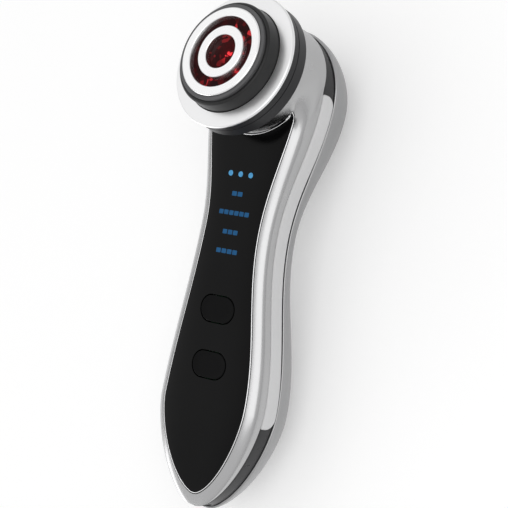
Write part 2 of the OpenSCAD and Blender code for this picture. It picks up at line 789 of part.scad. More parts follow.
// Pins that press against the electrodes from below
module contact_pins() color("gold") on_head() for (x = [inner_pin_at, outer_pin_at])
    translate([x, 0, cooler_low + slip])
        cylinder(h = electrode_low - cooler_low - slip, r = pin_r, $fn = 24);

module cooling_module() color("ivory") on_head() {
    plate = 0.7;
    for (h = [cooler_low, spreader_h - plate]) translate([-cooler_w / 2, -cooler_w / 2, h])
        cube([cooler_w, cooler_w, plate]);
    for (i = [0:4], j = [0:4])
        translate([(i - 2) * cooler_w / 5.4 - 0.8, (j - 2) * cooler_w / 5.4 - 0.8, cooler_low + plate])
            cube([1.6, 1.6, cooler_t - 2 * plate]);
}

module heat_sink() color("lightsteelblue") on_head() {
    plate_low = cooler_low - sink_plate_t;
    translate([-sink_w / 2, -sink_w / 2, plate_low]) cube([sink_w, sink_w, sink_plate_t]);
    for (i = [0:fin_count - 1])
        translate([-sink_w / 2 + i * (sink_w - fin_t) / (fin_count - 1), -sink_w / 2, plate_low - fin_l])
            cube([fin_t, sink_w, fin_l + sink_plate_t / 2]);
}

module head_screws() color("silver") on_head() for (t = head_screw_turns) rotate(t)
    translate([head_screw_ring, 0, floor_h - floor_t - screw_head_h]) mirror([0, 0, 1])
        screw(head_screw_r, screw_head_h, screw_r, screw_head_h + floor_t + base_floor_t - 1);

module shell_screws() color("silver") place() for (p = shell_screw_at)
    translate([p[0], p[1], screw_top(p)]) screw(screw_head_r, screw_head_h, screw_r, screw_length(p));

// Leads from the board's end, past the heat sink's edge and over its plate to the contact pins
module electrode_leads() color("red") place() one_mesh() {
    board_end = board_at + board_l;
    low = cooler_low + lead_r + slip;
    turn_y = -sink_w / 2 - 2 * lead_r - 1;
    for (run = [[2.5, inner_pin_at, [[5, -11.6], [8.2, -9.6], [8.9, -6.5]]],
                [4.8, outer_pin_at, [[8, -12.4], [12, -9.2], [14.4, -4.6]]]])
        let (x = run[0]) lead(concat(
            [[x, board_end - 6, board_top + lead_r], [x, board_end + 2, board_top + lead_r + 0.3],
             [x, board_end + 8, board_top + 4]],
            [for (q = [[x, turn_y - 0.6, low - 14], [x, turn_y, low - 3.5],
                       [x + 0.8, turn_y + 0.5, low - 0.7]])
                head_point(q)],
            [for (q = run[2]) head_point([q[0], q[1], low])],
            [head_point([run[1], -pin_r - fit, low])]), lead_r);
}

front_shell();
rear_shell();
mid_frame();
side_trim_left();
side_trim_right();
panel_bezel();
control_panel();
level_button();
mode_button();
level_plunger();
mode_plunger();
tact_switches();
level_lights();
light_guide();
indicator_leds();
main_board();
board_screws();
battery();
battery_cradle();
charge_socket();
charge_board();
buzzer();
transformer();
head_collar();
flange_ring();
electrode_base();
insulator_ring();
outer_electrode();
window_ring();
inner_electrode();
centre_lens();
heat_spreader();
led_board();
head_leds();
contact_pins();
cooling_module();
heat_sink();
head_screws();
shell_screws();
electrode_leads();
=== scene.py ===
import math

import bmesh
import bpy
import numpy as np
from mathutils import Matrix, Vector
from mathutils.geometry import delaunay_2d_cdt


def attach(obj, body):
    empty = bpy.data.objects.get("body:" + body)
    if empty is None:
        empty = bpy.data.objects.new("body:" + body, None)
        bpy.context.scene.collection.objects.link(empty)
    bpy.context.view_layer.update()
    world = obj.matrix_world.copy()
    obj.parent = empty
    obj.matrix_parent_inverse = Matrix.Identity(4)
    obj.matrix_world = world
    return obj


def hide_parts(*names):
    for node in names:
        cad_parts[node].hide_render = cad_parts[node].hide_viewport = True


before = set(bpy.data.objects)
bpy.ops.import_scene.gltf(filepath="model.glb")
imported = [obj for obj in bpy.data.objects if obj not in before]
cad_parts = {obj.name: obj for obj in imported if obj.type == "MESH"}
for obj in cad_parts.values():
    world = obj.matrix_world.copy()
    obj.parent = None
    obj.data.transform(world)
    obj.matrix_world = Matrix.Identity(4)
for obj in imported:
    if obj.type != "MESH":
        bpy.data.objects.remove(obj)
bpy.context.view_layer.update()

# Lengths are in millimetres: x runs across, s from the tail's tip to the head, and z up from the lowest point
# that the back would have without its flats. Mesh.build turns them into metres in the CAD's frame.

# ---- The handle's curves, with the values of the CAD except for PANEL_TOP, which is 0.7 nearer the tail ----

BELLY_AT, WAIST_AT, HEAD_AT, NOSE_L = 39.0, 104.0, 154.0, 27.3
WIDTHS = (48.4, 35.2, 49.4)             # at the belly, the waist and the head, as in the next two
SEAMS = (25.6, 30.4, 29.5)
CROWNS = (33.2, 36.7, 38.9)
BAND_H, WAIST_BACK, REST_CUT = 7.1, 12.3, 0.4
SEAM_GAP, BAND_INSET, BAND_WALL = 0.12, 0.9, 2.2
TRIM_START, TRIM_END, TRIM_SINK = 34.0, 157.0, 0.08
PANEL_SIDE, PANEL_TIP, PANEL_TOP, SCOOP_R = 4.9, 5.8, 137.9, 24.0
PANEL_T, BEZEL_RISE, TIP_FLAT = 1.1, 0.12, 0.15
MODE_AT, LEVEL_AT, BUTTON_W, BUTTON_H, BUTTON_GAP = 52.9, 73.4, 15.8, 9.6, 0.35
LIGHTS_AT, LIGHT_PITCH, LIGHT_D = 123.4, 4.8, 2.0
MARKS_AT, MARK_PITCH = 94.8, 7.1
SOCKET_W, SOCKET_H = 8.94, 3.26
TAIL_ROUND, PANEL_ROUND, CROWN_ROUND, BACK_ROUND, NOSE_ROUND = 1.63, 1.6, 1.35, 1.7, 1.6
FRONT_SQUARE, BACK_SQUARE = 3.5, 2.1

# ---- The head's section, with the values of the CAD. Heights are from the collar's seat, along its axis ----

TILT = math.radians(10.1)
COLLAR_Z, COLLAR_AT, FOOT_L = 44.9, 160.5, 41.0
NECK_R, COLLAR_R, COLLAR_H, FLANGE_R, RIM_T, DISH = 23.2, 25.6, 7.7, 26.0, 1.3, 2.6
BASE_R, INSULATOR_R, OUTER_R, OUTER_BORE, INNER_R, INNER_BORE = 20.2, 18.5, 17.1, 13.7, 9.9, 6.55
FACE_H = 17.2
RIM_H = COLLAR_H + RIM_T / 2
FAR_END = COLLAR_AT + (FLANGE_R - RIM_T / 2) * math.cos(TILT) + RIM_H * math.sin(TILT) + RIM_T / 2
MID_S = (FAR_END + TIP_FLAT) / 2

# ---- Values of the visible skins ----

FAN_TAIL, FAN_NOSE = 28.0, 154.0        # where lines across the outline start to fan round its ends
EDGE_R, EDGE_LAND = 0.75, 0.25          # the shells' rounded lower and upper edges, and the flat beside them
ROUND_STEPS = np.linspace(0, np.pi / 2, 7)[1:]
POCKET_GROW = 0.70                      # the front shell's pocket, outside the panel's outline
FRONT_WALL, REAR_WALL, SEAT_WALL = 1.5, 1.6, 1.9
TRIM_ROUND, TRIM_LIFT, TRIM_PILLOW = 0.85, 0.5, 0.8
BLEND_SMALL, BLEND_WIDE = 0.25, 9.0     # the neck's blend with the handle, at the panel and at the shoulders
FLAT_BLEND = 0.6
BOX_GAP = 0.002                         # how far the skins stay inside both ends of the CAD's box
HOLE_SIDES = 8                          # the largest hole that is closed where an inner skin folds
CAST_REACH, CAST_STEPS = 60.0, 44
NECK_MIDDLE_Z = 20.0
DISH_SAG, CAP_FLOOR = 0.16, 2.2
MARK_ROWS = ((3, 2, 2.3), (2, 6, 2.05), (1, 3, 2.1), (0, 4, 2.2))    # row, count, width of a stroke
MARK_GAP, MARK_HALF_H, MARK_ROUND = 0.4, 0.55, 0.3


def ease(t):
    return (1 - np.cos(np.pi * np.clip(t, 0, 1))) / 2


def along(s, triple):
    belly, waist, head = triple
    low = belly + (waist - belly) * ease((s - BELLY_AT) / (WAIST_AT - BELLY_AT))
    return np.where(s < WAIST_AT, low, waist + (head - waist) * ease((s - WAIST_AT) / (HEAD_AT - WAIST_AT)))


def close(t, square):
    return np.maximum(0, 1 - np.clip(t, 0, 1) ** square) ** (1 / square)


def tail_share(s, tip, square):
    return close((BELLY_AT - s) / (BELLY_AT - tip), square)


def nose_share(s, inset=0.0, square=2.0):
    return close((s - HEAD_AT) / (NOSE_L - inset), square)


def half_w(s, inset=0.0):
    s = np.asarray(s, float)
    return (along(s, WIDTHS) / 2 - inset) * tail_share(s, inset, TAIL_ROUND) * nose_share(s, inset)


def seam(s):
    return along(np.asarray(s, float), SEAMS)


def rear_seam(s):
    return seam(s) - BAND_H


def crown(s):
    return seam(s) + (along(s, CROWNS) - seam(s)) * tail_share(s, 0, CROWN_ROUND) * nose_share(s)


def back(s):
    return rear_seam(s) - (rear_seam(s) - along(s, (0.0, WAIST_BACK, 0.0))) * tail_share(s, 0, BACK_ROUND) \
        * nose_share(s, 0, NOSE_ROUND)


def skin_z(x, s):
    return seam(s) + (crown(s) - seam(s)) * close(np.abs(x) / np.maximum(half_w(s), 1e-6), FRONT_SQUARE)


def panel_half(s):
    return (along(s, WIDTHS) / 2 - PANEL_SIDE) * tail_share(s, PANEL_TIP, PANEL_ROUND)


# ---- Skins as fields: negative inside, about a distance near the skin ----

def squared_oval(a, h, square, width, height):
    r = (a ** square + h ** square) ** (1 / square)
    slope = np.hypot(a ** (square - 1) / width, h ** (square - 1) / height)
    return (r - 1) * np.maximum(r, 1e-6) ** (square - 1) / np.maximum(slope, 1e-9)


def dome_field(p):
    x, s, z = p[..., 0], p[..., 1], p[..., 2]
    width, height = np.maximum(half_w(s), 1e-3), np.maximum(crown(s) - seam(s), 1e-3)
    d = squared_oval(np.abs(x) / width, np.maximum(z - seam(s), 0) / height, FRONT_SQUARE, width, height)
    return np.maximum(d, np.maximum(-s, s - HEAD_AT - NOSE_L))


def bowl_field(p):
    x, s, z = p[..., 0], p[..., 1], p[..., 2]
    width, depth = np.maximum(half_w(s), 1e-3), np.maximum(rear_seam(s) - back(s), 1e-3)
    d = squared_oval(np.abs(x) / width, np.maximum(rear_seam(s) - z, 0) / depth, BACK_SQUARE, width, depth)
    d = np.maximum(d, np.maximum(-s, s - HEAD_AT - NOSE_L))
    flat = REST_CUT - z
    h = np.maximum(FLAT_BLEND - np.abs(d - flat), 0)
    return np.maximum(d, flat) + h * h / (4 * FLAT_BLEND)


FOOT_Z = SEAMS[2] + SEAM_GAP
SEAT_S, SEAT_Z = COLLAR_AT - SEAM_GAP * math.sin(TILT), COLLAR_Z - SEAM_GAP * math.cos(TILT)


def neck_field(p):
    """The neck: an oval foot in the handle that turns into a tilted circle at the collar's seat."""
    x, s, z = p[..., 0], p[..., 1], p[..., 2]
    u = (z - FOOT_Z) / (SEAT_Z - FOOT_Z)
    for _ in range(6):
        u = np.clip(u, -0.3, 1.4)
        long = (1 - u) * FOOT_L / 2 + u * NECK_R * math.cos(TILT)
        mid = (1 - u) * (HEAD_AT + NOSE_L - FOOT_L / 2) + u * SEAT_S
        u = (z + u * NECK_R * math.sin(TILT) * (s - mid) / long - FOOT_Z) / (SEAT_Z - FOOT_Z)
    wide = (1 - u) * (WIDTHS[2] / 2 - 0.1) + u * NECK_R
    a, b = x / wide, (s - mid) / long
    r = np.hypot(a, b)
    return (r - 1) * r / np.maximum(np.hypot(a / wide, b / long), 1e-9)


def shell_field(p):
    """Dome and neck together, with a wide blend at the shoulders and almost none beside the panel."""
    x, s, z = p[..., 0], p[..., 1], p[..., 2]
    out = ease((np.abs(x) - panel_half(np.minimum(s, 146.0)) + 2.5) / 7)
    k = BLEND_SMALL + BLEND_WIDE * out * (1 - ease((s - 148) / 20)) * ease((z - seam(s) - 0.3) / 5)
    a, b = dome_field(p), neck_field(p)
    h = np.maximum(k - np.abs(a - b), 0)
    return np.minimum(a, b) - h * h / (4 * k)


def gradient(field, p, e=0.02):
    g = np.stack([field(p + e * np.eye(3)[i]) - field(p - e * np.eye(3)[i]) for i in range(3)], -1)
    return g / np.maximum(np.linalg.norm(g, axis=-1, keepdims=True), 1e-9)


def halve(inside, near, far, steps=CAST_STEPS):
    """Closes in on the place between near, inside a skin, and far, outside it."""
    for _ in range(steps):
        mid = (near + far) / 2
        here = inside(mid)
        near, far = np.where(here, mid, near), np.where(here, far, mid)
    return near


def cast(field, origin, direction):
    """Points where the rays from inside a skin leave it."""
    shape = direction.shape[:-1]
    reach = halve(lambda m: field(origin + direction * m[..., None]) < 0, np.zeros(shape), np.full(shape, CAST_REACH))
    return origin + direction * reach[..., None]


def fan_rows(field, origin, start, end, shares):
    """Skin points between two edges, (edge, row, 3): the rays turn from start to end by the given shares."""
    a, b = start - origin, end - origin
    a = a / np.linalg.norm(a, axis=-1, keepdims=True)
    b = b / np.linalg.norm(b, axis=-1, keepdims=True)
    angle = np.arccos(np.clip((a * b).sum(-1, keepdims=True), -1, 1))[:, None, :]
    t = np.asarray(shares)[None, :, None]
    d = (np.sin((1 - t) * angle) * a[:, None, :] + np.sin(t * angle) * b[:, None, :]) / np.sin(angle)
    return cast(field, np.broadcast_to(origin[:, None, :], d.shape), d)


def outward(edge, inset=0.0):
    """Where a line in plan meets the outline: straight out beside the grip, and fanned round both ends."""
    middle = np.clip(edge[:, 1], FAN_TAIL, FAN_NOSE)
    d = np.stack([edge[:, 0], edge[:, 1] - middle], -1)
    d = d / np.linalg.norm(d, axis=-1, keepdims=True)

    def inside(m):
        x, s = d[:, 0] * m, middle + d[:, 1] * m
        return (np.abs(x) < half_w(s, inset)) & (s > inset) & (s < HEAD_AT + NOSE_L - inset)

    reach = halve(inside, np.zeros(len(d)), np.full(len(d), CAST_REACH))
    return np.stack([d[:, 0] * reach, middle + d[:, 1] * reach], -1)


def plan_loop(inset=0.0, pitch=1.25, fan=84):
    """The outline in plan as a closed loop: right side to the tail, round it, left side, round the nose."""
    side = np.linspace(FAN_NOSE, FAN_TAIL, int((FAN_NOSE - FAN_TAIL) / pitch))
    turn = np.pi * np.arange(1, fan) / fan
    right = np.stack([np.ones_like(side), side], -1)
    tail = np.stack([np.cos(turn), FAN_TAIL - np.sin(turn)], -1)
    left = np.stack([-np.ones_like(side), side[::-1]], -1)
    nose = np.stack([-np.cos(turn), FAN_NOSE + np.sin(turn)], -1)
    return outward(np.concatenate([right, tail, left, nose]), inset)


def sideways(loop):
    """Unit normals of a closed loop in plan, to the left of the way along it."""
    t = np.roll(loop, -1, 0) - np.roll(loop, 1, 0)
    n = np.stack([t[:, 1], -t[:, 0]], -1)
    return -n / np.linalg.norm(n, axis=-1, keepdims=True)


def lift(loop, z):
    return np.concatenate([loop[:, :2], np.broadcast_to(np.asarray(z, float), (len(loop),))[:, None]], 1)


# ---- Meshes ----

class Mesh:
    """Collects points and faces, and welds what meets."""

    def __init__(self):
        self.points, self.faces, self.count = [], [], 0

    def add(self, points):
        flat = np.asarray(points, float).reshape(-1, 3)
        self.points.append(flat)
        self.count += len(flat)
        return self.count - len(flat)

    def grid(self, points, wrap=False, cross=False):
        """Quads over (n, m, 3) points; wrap closes the first index and cross the second."""
        n, m = points.shape[:2]
        base = self.add(points)
        for i in range(n if wrap else n - 1):
            for j in range(m if cross else m - 1):
                i2, j2 = (i + 1) % n, (j + 1) % m
                self.faces.append((base + i * m + j, base + i2 * m + j, base + i2 * m + j2, base + i * m + j2))

    def build(self, name, body, look, replaces=(), sharp=40, turn=None):
        """Makes the piece, in metres. turn moves the points from a frame of their own first."""
        co = np.concatenate(self.points)
        if turn is not None:
            co = turn(co)
        co[:, 1] = np.clip(co[:, 1], TIP_FLAT + BOX_GAP, FAR_END - BOX_GAP)
        co = (co - [0, MID_S, REST_CUT]) * 0.001
        me = bpy.data.meshes.new(name)
        me.from_pydata(co.tolist(), [], self.faces)
        bm = bmesh.new()
        bm.from_mesh(me)
        bmesh.ops.remove_doubles(bm, verts=bm.verts, dist=1e-6)
        bmesh.ops.dissolve_degenerate(bm, edges=bm.edges, dist=1e-7)
        rims = [e for e in bm.edges if e.is_boundary]
        if rims:
            bmesh.ops.holes_fill(bm, edges=rims, sides=HOLE_SIDES)
        bmesh.ops.recalc_face_normals(bm, faces=bm.faces)
        bm.to_mesh(me)
        bm.free()
        return dress(me, name, body, look, replaces, sharp)


def dress(me, name, body, look, replaces, sharp):
    """Turns a mesh into a piece that rides on a body, with its finish and the nodes that it stands for."""
    me.shade_smooth()
    me.set_sharp_from_angle(angle=math.radians(sharp))
    ob = bpy.data.objects.new(name, me)
    bpy.context.scene.collection.objects.link(ob)
    me.materials.append(MATERIALS[look])
    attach(ob, body)
    if replaces:
        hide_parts(*replaces)
    return ob


def on_head(co):
    """Points given from the middle of the collar's seat, moved to the tilted head."""
    x, y, z = co[:, 0], co[:, 1], co[:, 2]
    return np.stack([x, COLLAR_AT + y * math.cos(TILT) + z * math.sin(TILT),
                     COLLAR_Z - y * math.sin(TILT) + z * math.cos(TILT)], -1)


def rounded(section, arc=7):
    """A closed section (x, y, radius) with its corners rounded, and a point beside each round for its shading."""
    out, n = [], len(section)
    for i in range(n):
        p, q, r = (np.array(section[j % n][:2], float) for j in (i - 1, i, i + 1))
        radius = section[i][2]
        a, b = p - q, r - q
        la, lb = np.linalg.norm(a), np.linalg.norm(b)
        a, b = a / la, b / lb
        half = math.acos(max(-1.0, min(1.0, float(a @ b)))) / 2
        if radius <= 0 or abs(half - math.pi / 2) < 0.03:
            out.append(q)
            continue
        reach = min(radius / math.tan(half), 0.47 * la, 0.47 * lb)
        radius = reach * math.tan(half)
        centre = q + (a + b) / np.linalg.norm(a + b) * radius / math.sin(half)
        start, end = q + a * reach, q + b * reach
        if reach * 1.25 < 0.5 * la:
            out.append(q + a * reach * 1.25)
        u, v = start - centre, end - centre
        sweep = math.pi - 2 * half
        for k in range(arc + 1):
            t = k / arc
            out.append(centre + (math.sin((1 - t) * sweep) * u + math.sin(t * sweep) * v) / math.sin(sweep))
        if reach * 1.25 < 0.5 * lb:
            out.append(q + b * reach * 1.25)
    return np.array(out)


def turned(name, section, look, replaces, arc=7, segments=256):
    """Ring on the head's axis, from a closed section of (radius, height, round)."""
    loop = rounded(section, arc)
    t = 2 * np.pi * np.arange(segments) / segments
    points = np.stack([loop[None, :, 0] * np.cos(t)[:, None], loop[None, :, 0] * np.sin(t)[:, None],
                       np.broadcast_to(loop[None, :, 1], (segments, len(loop)))], -1)
    mesh = Mesh()
    mesh.grid(points, wrap=True, cross=True)
    return mesh.build(name, "handset", look, replaces, turn=on_head)


def in_polygon(points, loop):
    """Which points in plan lie in a closed loop."""
    inside = np.zeros(len(points), bool)
    a, b = loop, np.roll(loop, -1, 0)
    for (x1, y1), (x2, y2) in zip(a, b):
        cut = (y1 > points[:, 1]) != (y2 > points[:, 1])
        with np.errstate(divide="ignore", invalid="ignore"):
            at = (x2 - x1) * (points[:, 1] - y1) / (y2 - y1) + x1
        inside ^= cut & (points[:, 0] < at)
    return inside


def loop_side(loop):
    """1 where sideways points into the loop, and -1 where it points out."""
    p = loop[:1] + sideways(loop)[:1] * 0.05
    return 1.0 if in_polygon(p, loop)[0] else -1.0


def inward(loop):
    return sideways(loop) * loop_side(loop)


def to_loop(points, loop):
    """Distance of each point from every second point of a loop, close enough for spacing a grid."""
    best = np.full(len(points), 1e9)
    for q in loop[::2]:
        best = np.minimum(best, ((points - q) ** 2).sum(-1))
    return np.sqrt(best)


def plate(name, outline, holes, top, thick, edge, look, replaces=(), body="handset", pitch=0.95, bottom=None):
    """A plate over an outline in plan: its top follows top(x, s), with a rounded edge at every border.

    Its underside is thick below that, or follows bottom(x, s)."""
    borders = [(outline, 1.0)] + [(h, -1.0) for h in holes]
    points, drops, ties, rims = [], [], [], []
    for loop, side in borders:
        n = sideways(loop) * side
        if (in_polygon(loop[:1] + n[:1] * 0.05, loop)[0]) != (side > 0):
            n = -n
        for k, t in enumerate((0.0, 0.3, 0.65, 1.0, 1.6)):
            ring = loop + n * edge * t
            drop = edge * (1 - math.sqrt(max(0.0, 1 - (1 - min(t, 1.0)) ** 2)))
            base = len(points)
            points += ring.tolist()
            drops += [drop] * len(ring)
            ties += [(base + i, base + (i + 1) % len(ring)) for i in range(len(ring))]
            if k == 0:
                rims.append((base, len(ring)))
    lo, hi = outline.min(0), outline.max(0)
    rows = np.arange(lo[1], hi[1], pitch * 0.866)
    inner = np.array([(x + (pitch / 2 if i % 2 else 0), s) for i, s in enumerate(rows)
                      for x in np.arange(-math.ceil(-lo[0] / pitch) * pitch, hi[0], pitch)])
    inner = inner[in_polygon(inner, outline)]
    for loop, side in borders:
        if side < 0:
            inner = inner[~in_polygon(inner, loop)]
        inner = inner[to_loop(inner, loop) > edge * 1.6 + 0.45 * pitch]
    points += inner.tolist()
    drops += [0.0] * len(inner)
    vs, _, fs, orig, _, _ = delaunay_2d_cdt([Vector(p) for p in points], ties, [], 0, 1e-7)
    co = np.array([tuple(v) for v in vs])
    drop = np.array([drops[o[0]] if o else 0.0 for o in orig])
    fs = np.array([f for f in fs if len(f) == 3])
    mid = co[fs].mean(1)
    keep = in_polygon(mid, outline)
    for h in holes:
        keep &= ~in_polygon(mid, h)
    fs = fs[keep]
    z = top(co[:, 0], co[:, 1])
    low = (z - thick) if bottom is None else bottom(co[:, 0], co[:, 1])
    mesh = Mesh()
    mesh.add(np.column_stack([co, z - drop]))
    mesh.add(np.column_stack([co, low]))
    n = len(co)
    mesh.faces += [tuple(int(i) for i in f) for f in fs] + [tuple(int(i) + n for i in f[::-1]) for f in fs]
    edges = dict.fromkeys((int(f[i]), int(f[(i + 1) % 3])) for f in fs for i in range(3))
    for a, b in edges:
        if (b, a) not in edges:
            mesh.faces.append((b, a, a + n, b + n))
    used = np.unique(fs)
    remap = np.full(2 * n, -1)
    both = np.concatenate([used, used + n])
    remap[both] = np.arange(len(both))
    mesh.points = [np.concatenate(mesh.points)[both]]
    mesh.faces = [tuple(int(remap[i]) for i in f) for f in mesh.faces]
    return mesh.build(name, body, look, replaces)


# ---- Materials ----

MATERIALS = {}


class Tree:
    """A node tree with short names for what is added to it."""

    def __init__(self, tree):
        self.tree = tree

    def new(self, kind, **values):
        node = self.tree.nodes.new(kind)
        for key, value in values.items():
            setattr(node, key, value)
        return node

    def link(self, a, b):
        self.tree.links.new(a, b)

    def plug(self, kind, operation, *values, **more):
        """A maths node whose inputs are sockets or plain values."""
        node = self.new(kind, operation=operation, **more)
        for socket, value in zip(node.inputs, values):
            if isinstance(value, bpy.types.NodeSocket):
                self.link(value, socket)
            else:
                socket.default_value = value
        return node.outputs

    def math(self, operation, *values, **more):
        return self.plug("ShaderNodeMath", operation, *values, **more)[0]

    def vector(self, operation, *values):
        return self.plug("ShaderNodeVectorMath", operation, *values)["Value"]

    def span(self, source, low, high, start=0.3, end=0.7, **more):
        m = self.new("ShaderNodeMapRange", **more)
        m.inputs["From Min"].default_value, m.inputs["From Max"].default_value = start, end
        m.inputs["To Min"].default_value, m.inputs["To Max"].default_value = low, high
        self.link(source, m.inputs["Value"])
        return m.outputs["Result"]

    def seen(self):
        """Two sockets: 1 for rays from the camera or through glass, and 1 for rays of reflections."""
        path = self.new("ShaderNodeLightPath").outputs
        return self.math("MAXIMUM", path["Is Camera Ray"], path["Is Transmission Ray"]), path["Is Glossy Ray"]


class Surface(Tree):
    """A new material's node tree."""

    def __init__(self, name):
        self.mat = bpy.data.materials.new(name)
        self.mat.use_nodes = True
        super().__init__(self.mat.node_tree)
        self.bsdf = self.tree.nodes["Principled BSDF"]
        self.where = self.new("ShaderNodeTexCoord").outputs["Object"]

    def noise(self, scale, detail=3.0, rough=0.5, stretch=(1, 1, 1), warp=0.0):
        m = self.new("ShaderNodeMapping")
        m.inputs["Scale"].default_value = stretch
        self.link(self.where, m.inputs["Vector"])
        n = self.new("ShaderNodeTexNoise")
        n.inputs["Scale"].default_value = scale
        n.inputs["Detail"].default_value = detail
        n.inputs["Roughness"].default_value = rough
        n.inputs["Distortion"].default_value = warp
        self.link(m.outputs["Vector"], n.inputs["Vector"])
        return n.outputs["Fac"]

    def ramp(self, source, stops):
        r = self.new("ShaderNodeValToRGB")
        r.color_ramp.elements[0].position, r.color_ramp.elements[1].position = stops[0][0], stops[-1][0]
        for p, _ in stops[1:-1]:
            r.color_ramp.elements.new(p)
        for e, (_, c) in zip(r.color_ramp.elements, stops):
            e.color = (*(c if isinstance(c, tuple) else (c, c, c)), 1)
        self.link(source, r.inputs["Fac"])
        return r.outputs["Color"]

    def bump(self, sources, distance=0.00004):
        """Adds bumps, each (height, strength)."""
        last = None
        for height, strength in sources:
            b = self.new("ShaderNodeBump")
            b.inputs["Strength"].default_value = strength
            b.inputs["Distance"].default_value = distance
            self.link(height, b.inputs["Height"])
            if last is not None:
                self.link(last, b.inputs["Normal"])
            last = b.outputs["Normal"]
        self.link(last, self.bsdf.inputs["Normal"])

    def set(self, **values):
        for key, value in values.items():
            self.bsdf.inputs[key.replace("_", " ")].default_value = value


def finish(name, colour, other, metallic, rough, grain, cloud, coat=0.0, scratch=0.0, stretch=(1, 1, 1), **more):
    """A two-tone surface: clouded colour, uneven gloss, a fine grain, and hairline scratches where asked."""
    m = Surface(name)
    MATERIALS[name] = m.mat
    soft = m.noise(cloud, 4, 0.55)
    m.link(m.ramp(soft, [(0.3, colour), (0.7, other)]), m.bsdf.inputs["Base Color"])
    m.set(Metallic=metallic, **more)
    if coat:
        m.set(Coat_Weight=coat, Coat_Roughness=0.06)
    m.link(m.span(m.noise(cloud * 4, 5, 0.6), *rough), m.bsdf.inputs["Roughness"])
    bumps = [(m.noise(grain[0], 4, 0.6, stretch), grain[1])]
    if scratch:
        fine = m.noise(260, 2, 0.5, (1, 0.02, 1), 0.6)
        bumps.append((m.ramp(fine, [(0.485, 0.0), (0.5, 1.0), (0.515, 0.0)]), scratch))
    m.bump(bumps)
    return m


